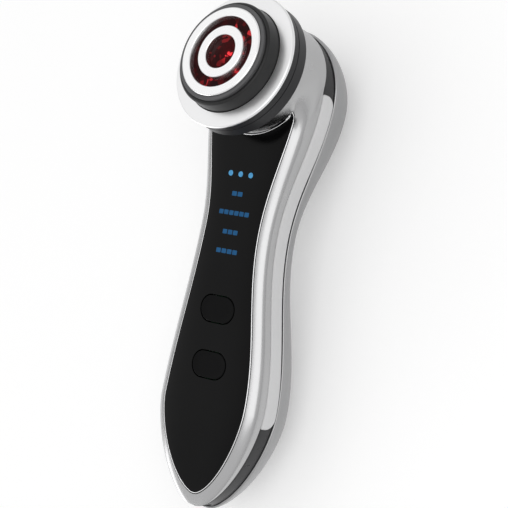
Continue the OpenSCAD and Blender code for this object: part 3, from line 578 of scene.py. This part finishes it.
def make_materials():
    """One finish for each name below, lit cells for the lamps, and cells of painted glints for the red glass."""
    finish("chrome_shell", (0.47, 0.47, 0.474), (0.50, 0.50, 0.504), 1.0, (0.24, 0.28), (700, 0.004), 26,
           scratch=0.006)
    finish("silver_shell", (0.38, 0.38, 0.384), (0.41, 0.41, 0.414), 1.0, (0.28, 0.33), (1600, 0.012), 30,
           scratch=0.008)
    finish("trim_satin", (0.76, 0.76, 0.765), (0.79, 0.79, 0.794), 0.2, (0.36, 0.42), (1400, 0.015), 30)
    finish("dark_band", (0.030, 0.030, 0.031), (0.045, 0.045, 0.047), 0.2, (0.26, 0.34), (500, 0.10), 40,
           stretch=(1, 0.05, 8), Specular_IOR_Level=0.3)
    finish("bezel_chrome", (0.86, 0.86, 0.865), (0.89, 0.89, 0.893), 1.0, (0.20, 0.24), (900, 0.010), 40)
    finish("flange_chrome", (0.88, 0.88, 0.885), (0.91, 0.91, 0.913), 1.0, (0.30, 0.35), (900, 0.012), 40,
           scratch=0.01)
    finish("button_black", (0.0020, 0.0020, 0.0022), (0.0030, 0.0030, 0.0032), 0.0, (0.26, 0.32), (1500, 0.02), 50,
           Specular_IOR_Level=0.07)
    finish("collar_dark", (0.026, 0.026, 0.028), (0.036, 0.036, 0.038), 0.2, (0.34, 0.42), (1700, 0.05), 60,
           Specular_IOR_Level=0.3)
    finish("base_black", (0.018, 0.018, 0.0185), (0.026, 0.026, 0.0265), 0.1, (0.30, 0.36), (1500, 0.04), 60,
           Specular_IOR_Level=0.25)
    finish("insulator_grey", (0.085, 0.085, 0.088), (0.105, 0.105, 0.108), 0.1, (0.35, 0.42), (1500, 0.05), 60,
           Specular_IOR_Level=0.35)
    finish("electrode_metal", (0.93, 0.93, 0.935), (0.95, 0.95, 0.952), 1.0, (0.20, 0.25), (1100, 0.012), 50,
           scratch=0.01)
    finish("socket_steel", (0.50, 0.50, 0.51), (0.58, 0.58, 0.585), 1.0, (0.28, 0.38), (1400, 0.05), 80)
    finish("screw_steel", (0.44, 0.44, 0.45), (0.55, 0.55, 0.555), 1.0, (0.25, 0.40), (1600, 0.08), 120)
    finish("sink_aluminium", (0.60, 0.61, 0.62), (0.68, 0.69, 0.70), 1.0, (0.34, 0.46), (600, 0.15), 60,
           stretch=(1, 14, 1))
    finish("pin_brass", (0.72, 0.52, 0.20), (0.80, 0.60, 0.26), 1.0, (0.2, 0.32), (1500, 0.05), 100)
    finish("winding_copper", (0.55, 0.24, 0.10), (0.66, 0.32, 0.14), 0.9, (0.25, 0.4), (160, 0.9), 100,
           stretch=(0.2, 30, 0.2))
    finish("ceramic", (0.78, 0.77, 0.73), (0.84, 0.83, 0.79), 0.0, (0.42, 0.55), (1200, 0.15), 90)
    finish("board_green", (0.012, 0.085, 0.035), (0.02, 0.13, 0.05), 0.0, (0.3, 0.45), (420, 0.35), 220,
           coat=0.3)
    finish("led_white", (0.80, 0.80, 0.76), (0.86, 0.86, 0.80), 0.0, (0.3, 0.42), (1300, 0.06), 200)
    finish("cell_blue", (0.03, 0.10, 0.32), (0.04, 0.13, 0.38), 0.0, (0.3, 0.42), (500, 0.08), 60, coat=0.2)
    finish("inner_black", (0.02, 0.02, 0.021), (0.032, 0.032, 0.034), 0.0, (0.42, 0.55), (1300, 0.2), 120)
    finish("lead_red", (0.42, 0.02, 0.02), (0.50, 0.03, 0.03), 0.0, (0.35, 0.45), (900, 0.08), 90)
    finish("clear_guide", (0.55, 0.66, 0.74), (0.62, 0.72, 0.80), 0.0, (0.3, 0.42), (900, 0.08), 90,
           Transmission_Weight=0.6, IOR=1.5)

    finish("panel_black", (0.0022, 0.0022, 0.0024), (0.0034, 0.0034, 0.0036), 0.0, (0.17, 0.20), (1500, 0.004), 40,
           Specular_IOR_Level=0.11)

    for name, dark, light, rough, cells, glow in (
            ("lamp_blue", (0.01, 0.03, 0.06), (0.015, 0.04, 0.08), (0.25, 0.35), 900,
             ((0.05, 0.24, 0.46), (0.10, 0.34, 0.58))),
            ("mark_blue", (0.004, 0.012, 0.03), (0.006, 0.016, 0.04), (0.2, 0.3), 700,
             ((0.006, 0.060, 0.15), (0.010, 0.080, 0.19)))):
        m = finish(name, dark, light, 0.0, rough, (900, 0.03), 300, Emission_Strength=1.0, Specular_IOR_Level=0.1)
        m.link(m.ramp(m.noise(cells, 2), [(0.3, glow[0]), (0.7, glow[1])]), m.bsdf.inputs["Emission Color"])

    # The red glass's bright cells are painted glints; the lens's spot is the light behind it.
    red_glass("window_red", (0.006, 0.0006, 0.0008), (0.02, 0.0008, 0.001), 0.6)
    red_glass("lens_red", (0.010, 0.0006, 0.0008), (0.05, 0.001, 0.0015), 0.8, (0.0031, 0.0694, 0.0601))


def red_glass(name, dark, light, glow, spot=None):
    """Dark red glass whose cells glow as painted glints; spot is the place in metres where the light behind it is
    brightest.
    """
    m = finish(name, dark, light, 0.0, (0.32, 0.40), (1200, 0.01), 130, Specular_IOR_Level=0.06)
    # Painted glints: a few voronoi cells glow bright, like lit facets.
    cells = m.new("ShaderNodeTexVoronoi")
    cells.inputs["Scale"].default_value = 560
    m.link(m.where, cells.inputs["Vector"])
    tone = m.new("ShaderNodeSeparateColor")
    m.link(cells.outputs["Color"], tone.inputs[0])
    painted_glints_and_spot = tone.outputs[0]
    if spot:
        away = m.vector("DISTANCE", m.where, spot)
        painted_glints_and_spot = m.math("ADD", painted_glints_and_spot, m.span(away, 0.85, 0.0, 0.0005, 0.0019), use_clamp=True)
        m.link(m.span(away, glow * 1.7, 0.2, 0.0010, 0.0046), m.bsdf.inputs["Emission Strength"])
    else:
        m.set(Emission_Strength=glow)
    m.link(m.ramp(painted_glints_and_spot, [(0.0, (0.003, 0.0003, 0.0004)), (0.7, (0.02, 0.001, 0.0015)),
                         (0.88, (0.14, 0.004, 0.006)), (1.0, (0.9, 0.04, 0.05))]),
           m.bsdf.inputs["Emission Color"])


make_materials()

NODE_FINISH = {
    "level_plunger": "inner_black", "mode_plunger": "inner_black", "tact_switches": "socket_steel",
    "level_lights": "lamp_blue", "light_guide": "clear_guide", "indicator_leds": "led_white",
    "main_board": "board_green", "board_screws": "screw_steel", "battery": "cell_blue",
    "battery_cradle": "inner_black", "charge_socket": "socket_steel", "charge_board": "board_green",
    "buzzer": "inner_black", "transformer": "winding_copper", "heat_spreader": "ceramic",
    "led_board": "board_green", "head_leds": "led_white", "contact_pins": "pin_brass",
    "cooling_module": "ceramic", "heat_sink": "sink_aluminium", "head_screws": "screw_steel",
    "shell_screws": "screw_steel", "electrode_leads": "lead_red"}
for node, look in NODE_FINISH.items():
    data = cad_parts[node].data
    data.materials.clear()
    data.materials.append(MATERIALS[look])


# ---- Housing ----

def resample(loop, pitch):
    """A closed loop with its points spaced evenly."""
    pts = np.concatenate([loop, loop[:1]])
    length = np.concatenate([[0], np.cumsum(np.linalg.norm(np.diff(pts, axis=0), axis=1))])
    n = max(8, int(round(length[-1] / pitch)))
    at = np.linspace(0, length[-1], n + 1)
    return np.stack([np.interp(at, length, pts[:, i]) for i in range(pts.shape[1])], -1)[:-1]


def smooth(loop, rounds):
    for _ in range(rounds):
        loop = loop * 0.5 + (np.roll(loop, 1, 0) + np.roll(loop, -1, 0)) * 0.25
    return loop


def panel_outline():
    """The panel's outline in plan: right corner, down to the tail tip, up the left side, and the hollowed top."""
    tip = PANEL_TIP + TIP_FLAT
    t = np.linspace(0, 1, 1600) ** 2.2
    side = tip + (150 - tip) * t
    x = panel_half(side)
    centre = PANEL_TOP + SCOOP_R
    over = side > centre - np.sqrt(np.maximum(SCOOP_R ** 2 - x ** 2, 0))
    last = int(np.argmax(over))
    side, x = side[:last], x[:last]
    right = np.stack([x, side], -1)[::-1]
    left = np.stack([-x, side], -1)
    xs = np.linspace(-x[-1], x[-1], 160)[1:-1]
    top = np.stack([xs, centre - np.sqrt(SCOOP_R ** 2 - xs ** 2)], -1)
    loop = resample(np.concatenate([right, left, top]), 0.18)
    return smooth(loop, 14)


def offset(loop, distance):
    """A closed loop in plan, moved outwards."""
    return loop - sideways(loop) * distance * loop_side(loop)


def rolled_edge(rim, base, up, inner):
    """Rows from a shell's rim round its edge to its inside; up is 1 where the shell rises from it, or -1."""
    n2 = inward(rim[:, :2])
    rows = [rim]
    for a in ROUND_STEPS:
        step = rim.copy()
        step[:, :2] += n2 * EDGE_R * (1 - math.cos(a))
        step[:, 2] = base + up * EDGE_R * (1 - math.sin(a))
        rows.append(step)
    flat = rim.copy()
    flat[:, :2] += n2 * (EDGE_R + EDGE_LAND)
    flat[:, 2] = base
    return np.stack(rows + [flat, np.column_stack([inner[:, :2], base]), inner], 1)


PANEL = panel_outline()


def make_front_shell():
    """The strip from the pocket down to the seam, the head with its neck, and the walls that close them."""
    pocket = resample(offset(PANEL, POCKET_GROW), 0.62)
    # The pocket's corners are its points farthest towards the head on either side.
    score = pocket[:, 1] + 0.25 * np.abs(pocket[:, 0])
    right = int(np.argmax(np.where(pocket[:, 0] > 0, score, -1)))
    left = int(np.argmax(np.where(pocket[:, 0] < 0, score, -1)))
    pocket = np.roll(pocket, -right, 0)
    left = (left - right) % len(pocket)
    side, top = pocket[:left + 1], np.concatenate([pocket[left:], pocket[:1]])

    # The strip runs from the pocket's side down to the seam, from the right corner round the tail to the left.
    rim = outward(side)
    rim_z = seam(rim[:, 1]) + SEAM_GAP + EDGE_R
    origin = lift(np.stack([np.zeros(len(side)), np.maximum(side[:, 1], FAN_TAIL)], -1),
                  seam(side[:, 1]) - 3)
    start = stand_on_shell(side)
    strip = fan_rows(shell_field, origin, start, lift(rim, rim_z), np.linspace(0, 1, 34))

    # In the head, rays from the neck's middle turn from the collar's seat to the pocket, the strip and the seam.
    nose = nose_line(float(side[0, 1]))
    foot = lift(nose, seam(nose[:, 1]) + SEAM_GAP + EDGE_R)
    lip = stand_on_shell(top)
    edge = np.concatenate([lip, strip[0][1:], foot[1:-1], strip[-1][::-1], lip[:1]])
    middle = np.array([0.0, COLLAR_AT, NECK_MIDDLE_Z])
    angle = np.unwrap(np.arctan2(edge[:, 1] - middle[1], edge[:, 0]))
    seat = on_head(np.column_stack([NECK_R * np.cos(angle), NECK_R * np.sin(angle),
                                    np.full(len(angle), -SEAM_GAP)]))
    head = fan_rows(shell_field, np.broadcast_to(middle, edge.shape), seat, edge, np.linspace(0, 1, 40))
    head[:, 0] = seat
    n_top = len(lip)
    head[n_top - 1:n_top - 1 + len(strip[0]), -1] = strip[0]
    k = n_top + len(strip[0]) - 1 + len(foot) - 2
    head[k:k + len(strip[0]), -1] = strip[-1][::-1]
    head[-1] = head[0]

    # The inner skin is thinner towards both ends.
    strip_in, head_in = (
        grid - gradient(shell_field, grid) * (FRONT_WALL * np.clip(
            np.minimum(grid[..., 1], HEAD_AT + NOSE_L + 4 - grid[..., 1]) / 9, 0.3, 1))[..., None]
        for grid in (strip, head))
    d = seat - on_head(np.zeros((1, 3)))
    head_in[:, 0] = seat - d / np.linalg.norm(d, axis=1, keepdims=True) * SEAT_WALL
    mesh = Mesh()
    for grid in (strip, strip_in, head, head_in):
        mesh.grid(grid)

    # The pocket's wall, the collar's seat, and the rounded lower edge close the skins.
    wall = np.concatenate([strip[:, 0], head[1:n_top - 1, -1]])
    wall_in = np.concatenate([strip_in[:, 0], head_in[1:n_top - 1, -1]])
    mesh.grid(np.stack([wall, wall_in], 1), wrap=True)
    mesh.grid(np.stack([head[:, 0], head_in[:, 0]], 1))
    first = n_top + len(strip[0]) - 2
    low = np.concatenate([strip[:, -1], head[first + 1:first + len(foot) - 1, -1][::-1]])
    low_in = np.concatenate([strip_in[:, -1], head_in[first + 1:first + len(foot) - 1, -1][::-1]])
    mesh.grid(rolled_edge(low, seam(low[:, 1]) + SEAM_GAP, 1, low_in), wrap=True)
    return mesh.build("front_shell_skin", "handset", "chrome_shell", ("front_shell",), sharp=50)


def nose_line(s_corner):
    """The outline round the head, from the right side at s_corner to the left side."""
    side = np.arange(s_corner, FAN_NOSE, 0.9)
    turn = np.pi * np.arange(0, 111) / 110
    right = np.stack([np.ones_like(side), side], -1)
    nose = np.stack([np.cos(turn), FAN_NOSE + np.sin(turn)], -1)
    left = np.stack([-np.ones_like(side), side], -1)[::-1]
    return outward(np.concatenate([right, nose, left]))


def stand_on_shell(loop):
    """Points of a line in plan, lifted to the first skin above a place just inside the dome."""
    low = skin_z(loop[:, 0], loop[:, 1]) - 0.4
    levels = low[:, None] + np.linspace(0, 4, 201)[None]
    x, s = (np.broadcast_to(loop[:, i:i + 1], levels.shape) for i in (0, 1))
    p = np.stack([x, s, levels], -1)
    first = np.argmax(shell_field(p) > 0, axis=1)
    first = np.where(first == 0, 60, first)
    rows = np.arange(len(loop))
    z = halve(lambda m: shell_field(np.column_stack([loop, m])) < 0, levels[rows, first - 1], levels[rows, first], 30)
    return np.column_stack([loop, z])


def make_rear_shell():
    """The bowl of the back, from its rounded rim to the belly, with its inner skin."""
    loop = plan_loop()
    rim_z = rear_seam(loop[:, 1]) - SEAM_GAP - EDGE_R
    centre = np.clip(loop[:, 1], FAN_TAIL, FAN_NOSE)
    origin = np.column_stack([np.zeros(len(loop)), centre, rear_seam(centre) + 1.5])
    end = origin.copy()
    end[:, 2] = -5
    start = lift(loop, rim_z)
    grid = fan_rows(bowl_field, origin, start, end, np.linspace(0, 1, 36))
    near_tip = np.clip(np.minimum(grid[..., 1], HEAD_AT + NOSE_L - grid[..., 1]) / 8, 0.35, 1)
    inner = grid - gradient(bowl_field, grid) * (REAR_WALL * near_tip)[..., None]
    inner[:, -1] = grid[:, -1] + [0, 0, REAR_WALL]
    mesh = Mesh()
    mesh.grid(grid, wrap=True)
    mesh.grid(inner, wrap=True)
    mesh.grid(rolled_edge(grid[:, 0], rear_seam(grid[:, 0, 1]) - SEAM_GAP, -1, inner[:, 0]), wrap=True)
    return mesh.build("rear_shell_skin", "handset", "silver_shell", ("rear_shell",), sharp=50)


def make_band():
    """The dark ring between the shells, slightly crowned, with the charging socket's mouth cut into its tail."""
    outer, inner = plan_loop(BAND_INSET, 1.0, 96), plan_loop(BAND_INSET + BAND_WALL, 1.0, 96)
    n2 = inward(outer)
    low, high = rear_seam(outer[:, 1]) + SEAM_GAP, seam(outer[:, 1]) - SEAM_GAP
    rows = []
    for t, sink in ((0.0, 0.25), (0.012, 0.1), (0.04, 0.0), (0.25, -0.04), (0.5, -0.06), (0.75, -0.04),
                    (0.96, 0.0), (0.988, 0.1), (1.0, 0.25)):
        rows.append(np.column_stack([outer + n2 * sink, low + (high - low) * t]))
    rows.append(np.column_stack([inner, seam(inner[:, 1]) - SEAM_GAP]))
    rows.append(np.column_stack([inner, rear_seam(inner[:, 1]) + SEAM_GAP]))
    mesh = Mesh()
    mesh.grid(np.stack(rows, 1), wrap=True, cross=True)
    band = mesh.build("dark_band_ring", "handset", "dark_band", ("mid_frame",), sharp=50)

    cutter, n = Mesh(), 48
    t = 2 * np.pi * np.arange(n) / n
    half, r = (SOCKET_W - SOCKET_H) / 2, SOCKET_H / 2 + 0.15
    x = np.where(np.cos(t) >= 0, half, -half) + r * np.cos(t)
    z = SEAMS[0] - BAND_H / 2 + r * np.sin(t)
    cutter.grid(np.stack([np.column_stack([x, np.full(n, s), z]) for s in (-2.0, 9.0)]), cross=True)
    cutter.faces += [tuple(range(n)), tuple(range(2 * n - 1, n - 1, -1))]
    carve(band, cutter, "socket_cutter")
    return band


def carve(ob, cutter, name):
    """Cuts a form out of a piece, and leaves a plain mesh."""
    tool = cutter.build(name, "handset", "inner_black")
    b = ob.modifiers.new("cut", "BOOLEAN")
    b.object, b.operation, b.solver = tool, "DIFFERENCE", "EXACT"
    me = bpy.data.meshes.new_from_object(ob.evaluated_get(bpy.context.evaluated_depsgraph_get()))
    ob.modifiers.clear()
    me.name = ob.name
    ob.data = me
    while len(me.materials) > 1:
        me.materials.pop()
    me.shade_smooth()
    me.set_sharp_from_angle(angle=math.radians(40))
    bpy.data.objects.remove(tool)


def make_trim(sign, name, node):
    """A satin strip in the band's side, its face pillowed and its rear corners rounder than its front ones."""
    r = TRIM_ROUND
    t = np.linspace(0, 1, 150)
    s = TRIM_START + (TRIM_END - TRIM_START) * (1 - np.cos(np.pi * t)) / 2
    s = np.unique(np.concatenate([s, TRIM_START + np.linspace(0, r, 6), TRIM_END - np.linspace(0, r, 6)]))
    to_end = np.minimum(s - TRIM_START, TRIM_END - s)
    front_r, rear_r = BAND_H / 6, BAND_H / 2 + 0.6
    high = seam(s) - SEAM_GAP - front_r * (1 - close(1 - to_end / front_r, 2))
    low = rear_seam(s) + SEAM_GAP + rear_r * (1 - close(1 - to_end / rear_r, 2))
    low = low + TRIM_LIFT * ease((s - 40) / 25) * (1 - ease((s - 118) / 25))
    w = (1 - np.cos(np.pi * np.linspace(0, 1, 25))) / 2
    z = low[:, None] + (high - low)[:, None] * w[None]
    slope_l = np.hypot(1, np.gradient(low, s))[:, None]
    slope_h = np.hypot(1, np.gradient(high, s))[:, None]
    d = np.minimum(np.minimum((high[:, None] - z) / slope_h, (z - low[:, None]) / slope_l), to_end[:, None])
    sink = r - np.sqrt(np.maximum(r * r - np.maximum(r - d, 0) ** 2, 0))
    face = (half_w(s) - TRIM_SINK)[:, None] - sink * TRIM_PILLOW
    rear = np.broadcast_to(half_w(s, BAND_INSET - 0.1)[:, None] - 0.02, z.shape)
    ss = np.broadcast_to(s[:, None], z.shape)
    outer = np.stack([sign * face, ss, z], -1)
    inner = np.stack([sign * rear, ss, z], -1)
    mesh = Mesh()
    mesh.grid(outer)
    mesh.grid(inner)
    for side in ((slice(None), 0), (slice(None), -1), 0, -1):
        mesh.grid(np.stack([outer[side], inner[side]], 1))
    return mesh.build(name, "handset", "trim_satin", (node,), sharp=60)


def sweep(name, loop, section, look, replaces):
    """A closed bead along a loop in plan: section points are (distance outwards, height over the skin)."""
    mesh = Mesh()
    mesh.grid(np.stack([stand_on_shell(loop - inward(loop) * out) + [0, 0, up] for out, up in section], 1),
              wrap=True, cross=True)
    return mesh.build(name, "handset", look, replaces, sharp=50)


def stadium(at, grow):
    """A button's outline in plan, grown by a distance."""
    r = BUTTON_H / 2 + grow
    half = BUTTON_W / 2 - BUTTON_H / 2
    t = np.linspace(-np.pi / 2, np.pi / 2, 60)
    right = np.stack([half + r * np.cos(t), at + r * np.sin(t)], -1)
    left = np.stack([-half - r * np.cos(t), at - r * np.sin(t)], -1)
    return resample(np.concatenate([right, left]), 0.3)


def circle(x, s, r, n=40):
    t = 2 * np.pi * np.arange(n) / n
    return np.stack([x + r * np.cos(t), s + r * np.sin(t)], -1)


make_front_shell()
make_rear_shell()
make_band()
make_trim(1, "side_trim_right_skin", "side_trim_right")
make_trim(-1, "side_trim_left_skin", "side_trim_left")

LIGHT_X = [-LIGHT_PITCH, 0.0, LIGHT_PITCH]
holes = [stadium(MODE_AT, BUTTON_GAP + 0.05), stadium(LEVEL_AT, BUTTON_GAP + 0.05)] \
    + [circle(x, LIGHTS_AT, LIGHT_D / 2 + 0.06) for x in LIGHT_X]
plate("control_panel_skin", resample(offset(PANEL, -0.05), 0.5), holes, skin_z, PANEL_T, 0.12,
      "panel_black", ("control_panel",))
bead = [(0.04, -0.9)] + [(0.20 - 0.16 * math.cos(a), BEZEL_RISE * math.sin(a))
                         for a in np.linspace(0, math.pi, 9)] + [(0.36, -0.9)]
sweep("panel_bezel_skin", resample(PANEL, 0.45), bead, "bezel_chrome", ("panel_bezel",))


def make_button(at, node, body):
    """A cap with a shallow dish, on a flat underside."""
    def top(x, s):
        u = np.clip(1 - ((np.abs(x) / (BUTTON_W / 2)) ** 2.6 + (np.abs(s - at) / (BUTTON_H / 2)) ** 2.6), 0, 1)
        return skin_z(x, s) + 0.02 - DISH_SAG * ease(u * 1.4)
    floor = crown(at) - CAP_FLOOR
    return plate(node + "_cap", stadium(at, 0.0), [], top, 1.0, 0.22, "button_black", (node,), body, 0.6,
                 bottom=lambda x, s: np.full(x.shape, float(floor)))


make_button(LEVEL_AT, "level_button", "level_key")
make_button(MODE_AT, "mode_button", "mode_key")

for row, count, w in MARK_ROWS:
    start = -(count * (w + MARK_GAP) - MARK_GAP) / 2
    for i in range(count):
        cx = start + i * (w + MARK_GAP) + w / 2
        t = 2 * np.pi * np.arange(24) / 24
        box = np.stack([cx + (w / 2 - MARK_ROUND) * np.sign(np.cos(t)) + MARK_ROUND * np.cos(t),
                        MARKS_AT + MARK_PITCH * row + MARK_HALF_H * np.sign(np.sin(t)) + MARK_ROUND * np.sin(t)], -1)
        plate(f"mode_mark_{row}_{i}", box, [], lambda x, s: skin_z(x, s) + 0.02, 0.06, 0.01, "mark_blue", pitch=0.7)

# ---- Treatment head ----

GROOVE_H, FLOOR_H = COLLAR_H * 0.62, COLLAR_H - 1.1
SPIGOT_R, SPIGOT_BORE, RECESS_R, BASE_BORE = 20.85, 18.85, 21.6, 16.2
BASE_TOP, ELECTRODE_FOOT, ELECTRODE_TAPER, WINDOW_FOOT, WINDOW_TOP = 15.2, 14.95, 0.42, 12.1, 14.9

turned("head_collar_skin", [
    (SPIGOT_BORE, -1.8, 0.1), (SPIGOT_R, -1.8, 0.1), (SPIGOT_R, 0.0, 0), (COLLAR_R, 0.0, 0.5),
    (COLLAR_R, GROOVE_H - 0.22, 0.06), (COLLAR_R - 0.3, GROOVE_H - 0.16, 0.05),
    (COLLAR_R - 0.3, GROOVE_H + 0.16, 0.05), (COLLAR_R, GROOVE_H + 0.22, 0.06), (COLLAR_R, COLLAR_H, 0.12),
    (RECESS_R, COLLAR_H, 0.1), (RECESS_R, FLOOR_H, 0.1), (BASE_BORE, FLOOR_H, 0.1), (BASE_BORE, FLOOR_H - 2, 0.1),
    (SPIGOT_BORE, FLOOR_H - 2, 0.1)], "collar_dark", ("head_collar",))
turned("flange_ring_skin", [
    (BASE_R + 0.2, FLOOR_H, 0.05), (BASE_R + 1.3, FLOOR_H, 0.05), (BASE_R + 1.3, COLLAR_H, 0.02),
    (FLANGE_R, COLLAR_H, 0.5), (FLANGE_R, COLLAR_H + 1.35, 0.75), (BASE_R + 0.2, COLLAR_H + 1.7, 0.15)],
    "flange_chrome", ("flange_ring",), arc=12)
turned("electrode_base_skin", [
    (BASE_BORE, FLOOR_H, 0.1), (BASE_R, FLOOR_H, 0.05), (BASE_R, COLLAR_H + DISH, 0.02),
    (BASE_R - 0.25, BASE_TOP - 0.5, 0.3), (BASE_R - 0.75, BASE_TOP, 0.35), (INSULATOR_R + 0.1, BASE_TOP, 0.12),
    (INSULATOR_R + 0.1, 9.8, 0.05), (BASE_BORE, 9.8, 0.05)], "base_black", ("electrode_base",))
turned("insulator_ring_skin", [
    (OUTER_R + 0.08, 11.3, 0), (INSULATOR_R, 11.3, 0), (INSULATOR_R, 15.55, 0.04), (INSULATOR_R - 0.12, 15.62, 0.03),
    (INSULATOR_R - 0.12, 15.78, 0.03), (INSULATOR_R, 15.85, 0.04), (INSULATOR_R, 16.4, 0.35),
    (OUTER_R + 0.08, 16.4, 0.1)], "insulator_grey", ("insulator_ring",))
turned("window_ring_skin", [
    (INNER_R - 0.05, WINDOW_FOOT, 0.05), (INNER_R + 0.5, WINDOW_FOOT, 0.05), (INNER_R + 0.5, 13.9, 0.05),
    (OUTER_BORE - 0.5, 13.9, 0.05), (OUTER_BORE - 0.5, WINDOW_FOOT, 0.05), (OUTER_BORE + 0.05, WINDOW_FOOT, 0.05),
    (OUTER_BORE + 0.05, WINDOW_TOP, 0.1), (INNER_R - 0.05, WINDOW_TOP, 0.1)], "window_red", ("window_ring",))


def make_lens():
    """The red lens: crowns of facets round a small table, each crown turned half a facet from the last."""
    crowns = ((6.95, 14.2), (6.6, 14.75), (5.2, 15.25), (3.6, 15.65), (1.7, 15.85))    # radius, height
    n = 18
    rings = []
    for k, (r, h) in enumerate(crowns):
        a = 2 * np.pi * (np.arange(n) + (0.5 if k % 2 else 0.0)) / n
        rings.append(np.column_stack([r * np.cos(a), r * np.sin(a), np.full(n, h)]))
    mesh = Mesh()
    bases = [mesh.add(r) for r in rings]
    for k, (a, b) in enumerate(zip(bases, bases[1:])):
        for i in range(n):
            j = (i + 1) % n
            if k % 2:
                mesh.faces += [(a + i, b + j, b + i), (a + i, a + j, b + j)]
            else:
                mesh.faces += [(a + i, a + j, b + i), (a + j, b + j, b + i)]
    top = mesh.add([[0, 0, 15.9]])
    mesh.faces += [(bases[-1] + i, bases[-1] + (i + 1) % n, top) for i in range(n)]
    skirt = mesh.add(np.column_stack([rings[0][:, :2], np.full(n, 11.4)]))
    mesh.faces += [(bases[0] + i, skirt + i, skirt + (i + 1) % n, bases[0] + (i + 1) % n) for i in range(n)]
    mesh.faces.append(tuple(skirt + i for i in range(n)))
    lens = mesh.build("centre_lens_facets", "handset", "lens_red", ("centre_lens",), sharp=1, turn=on_head)
    lens.data.shade_flat()


make_lens()
turned("outer_electrode_skin", [
    (OUTER_BORE - ELECTRODE_TAPER, ELECTRODE_FOOT, 0.05), (OUTER_R, ELECTRODE_FOOT, 0.1), (OUTER_R, FACE_H, 0.62),
    (OUTER_BORE, FACE_H, 0.4)], "electrode_metal", ("outer_electrode",), arc=9)
turned("inner_electrode_skin", [
    (INNER_BORE - ELECTRODE_TAPER, ELECTRODE_FOOT, 0.05), (INNER_R + ELECTRODE_TAPER, ELECTRODE_FOOT, 0.05),
    (INNER_R, FACE_H, 0.4), (INNER_BORE, FACE_H, 0.4)], "electrode_metal", ("inner_electrode",), arc=9)

# ---- Studio, in metres ----

FLOOR_COLOUR, FLOOR_GLOW, FLOOR_HALF, FLOOR_Z = 0.80, 0.30, 3.0, -0.0002
# A painted reflection: for reflected rays only, the floor glows brighter towards the left and the tail.
PAINTED_REFLECTION_WAY, PAINTED_REFLECTION_FROM, PAINTED_REFLECTION_TO = (0.8, 0.6, 0.0), (-0.13, 0.45), (0.06, 0.16)    # place along the way, brightness
SKY_LOW, SKY_HIGH, SKY_TOP = 0.36, 0.68, 0.7
WINDOW_WAY, WINDOW_GLOW, WINDOW_EDGE = (-0.64, 0.29, 0.71), 0.32, (0.72, 0.97)
GLOSSY_WHITE = 0.4                     # how much of the white background shows in reflections
LOOK_AT = Vector((0, 0, 0.03))


def white_floor():
    """The stage floor: white for the camera with its shadows, and in the reflections a graded painted reflection,
    brighter towards the left and the tail.
    """
    m = Surface("floor_white")
    m.set(Base_Color=(FLOOR_COLOUR, FLOOR_COLOUR, FLOOR_COLOUR, 1), Roughness=1.0, Specular_IOR_Level=0.0,
          Emission_Color=(1, 1, 1, 1))
    seen, glossy = m.seen()
    # Painted reflection: only reflections see this graded glow of the floor.
    place = m.vector("DOT_PRODUCT", m.new("ShaderNodeNewGeometry").outputs["Position"], PAINTED_REFLECTION_WAY)
    painted_reflection = m.span(place, PAINTED_REFLECTION_FROM[1], PAINTED_REFLECTION_TO[1], PAINTED_REFLECTION_FROM[0], PAINTED_REFLECTION_TO[0])
    m.link(m.math("MULTIPLY_ADD", glossy, painted_reflection, m.math("MULTIPLY", seen, FLOOR_GLOW)),
           m.bsdf.inputs["Emission Strength"])
    return m.mat


def place_object(name, data, matrix=Matrix()):
    ob = bpy.data.objects.new(name, data)
    bpy.context.scene.collection.objects.link(ob)
    ob.matrix_world = matrix
    return ob


def make_floor():
    me = bpy.data.meshes.new("floor")
    a = FLOOR_HALF
    me.from_pydata([(-a, -a, 0), (a, -a, 0), (a, a, 0), (-a, a, 0)], [], [(0, 1, 2, 3)])
    me.materials.append(white_floor())
    place_object("floor", me, Matrix.Translation((0, 0, FLOOR_Z)))


def make_world():
    """White for the camera, and a soft studio for the object, with a bright window at the upper left."""
    world = bpy.data.worlds.new("studio")
    bpy.context.scene.world = world
    world.use_nodes = True
    w = Tree(world.node_tree)
    bg = w.tree.nodes["Background"]
    bg.inputs["Color"].default_value = (1, 1, 1, 1)
    where = w.new("ShaderNodeTexCoord").outputs["Generated"]
    split = w.new("ShaderNodeSeparateXYZ")
    w.link(where, split.inputs[0])
    sky = w.span(split.outputs["Z"], SKY_LOW, SKY_HIGH, 0.0, SKY_TOP)
    window = w.span(w.vector("DOT_PRODUCT", where, WINDOW_WAY), 0.0, WINDOW_GLOW, *WINDOW_EDGE,
                    interpolation_type="SMOOTHSTEP")
    seen, glossy = w.seen()
    mix = w.new("ShaderNodeMix", data_type="FLOAT")
    w.link(w.math("MAXIMUM", seen, w.math("MULTIPLY", glossy, GLOSSY_WHITE)), mix.inputs["Factor"])
    w.link(w.math("ADD", sky, window), mix.inputs["A"])
    mix.inputs["B"].default_value = 1.0
    w.link(mix.outputs["Result"], bg.inputs["Strength"])


def lamp(name, place, size, power, size_y=None):
    """A soft box at a place, turned to the object."""
    data = bpy.data.lights.new(name, "AREA")
    data.shape = "RECTANGLE"
    data.size, data.size_y = size, size_y or size
    data.energy = power
    ob = place_object(name, data)
    ob.location = place
    ob.rotation_euler = (LOOK_AT - Vector(place)).to_track_quat("-Z", "Y").to_euler()


def make_camera():
    """The photograph's view, as fitted to the object's outlines."""
    cam = bpy.data.cameras.new("camera")
    cam.lens, cam.sensor_width = 124.72, 36.0
    cam.clip_start, cam.clip_end = 0.01, 20
    right, up, rear = (0.757, 0.1995, -0.6221), (-0.1336, 0.9794, 0.1516), (0.6396, -0.0317, 0.7681)
    turn = Matrix((right, up, rear)).transposed().to_4x4()
    bpy.context.scene.camera = place_object("camera", cam, Matrix.Translation((0.4185, -0.01841, 0.5230)) @ turn)


make_floor()
make_world()
lamp("key", (0.42, 0.05, 0.95), 0.9, 2.5)
lamp("rim", (-0.75, -0.62, 0.16), 0.6, 1.5, 0.35)
make_camera()
bpy.context.scene.view_settings.view_transform = "Standard"
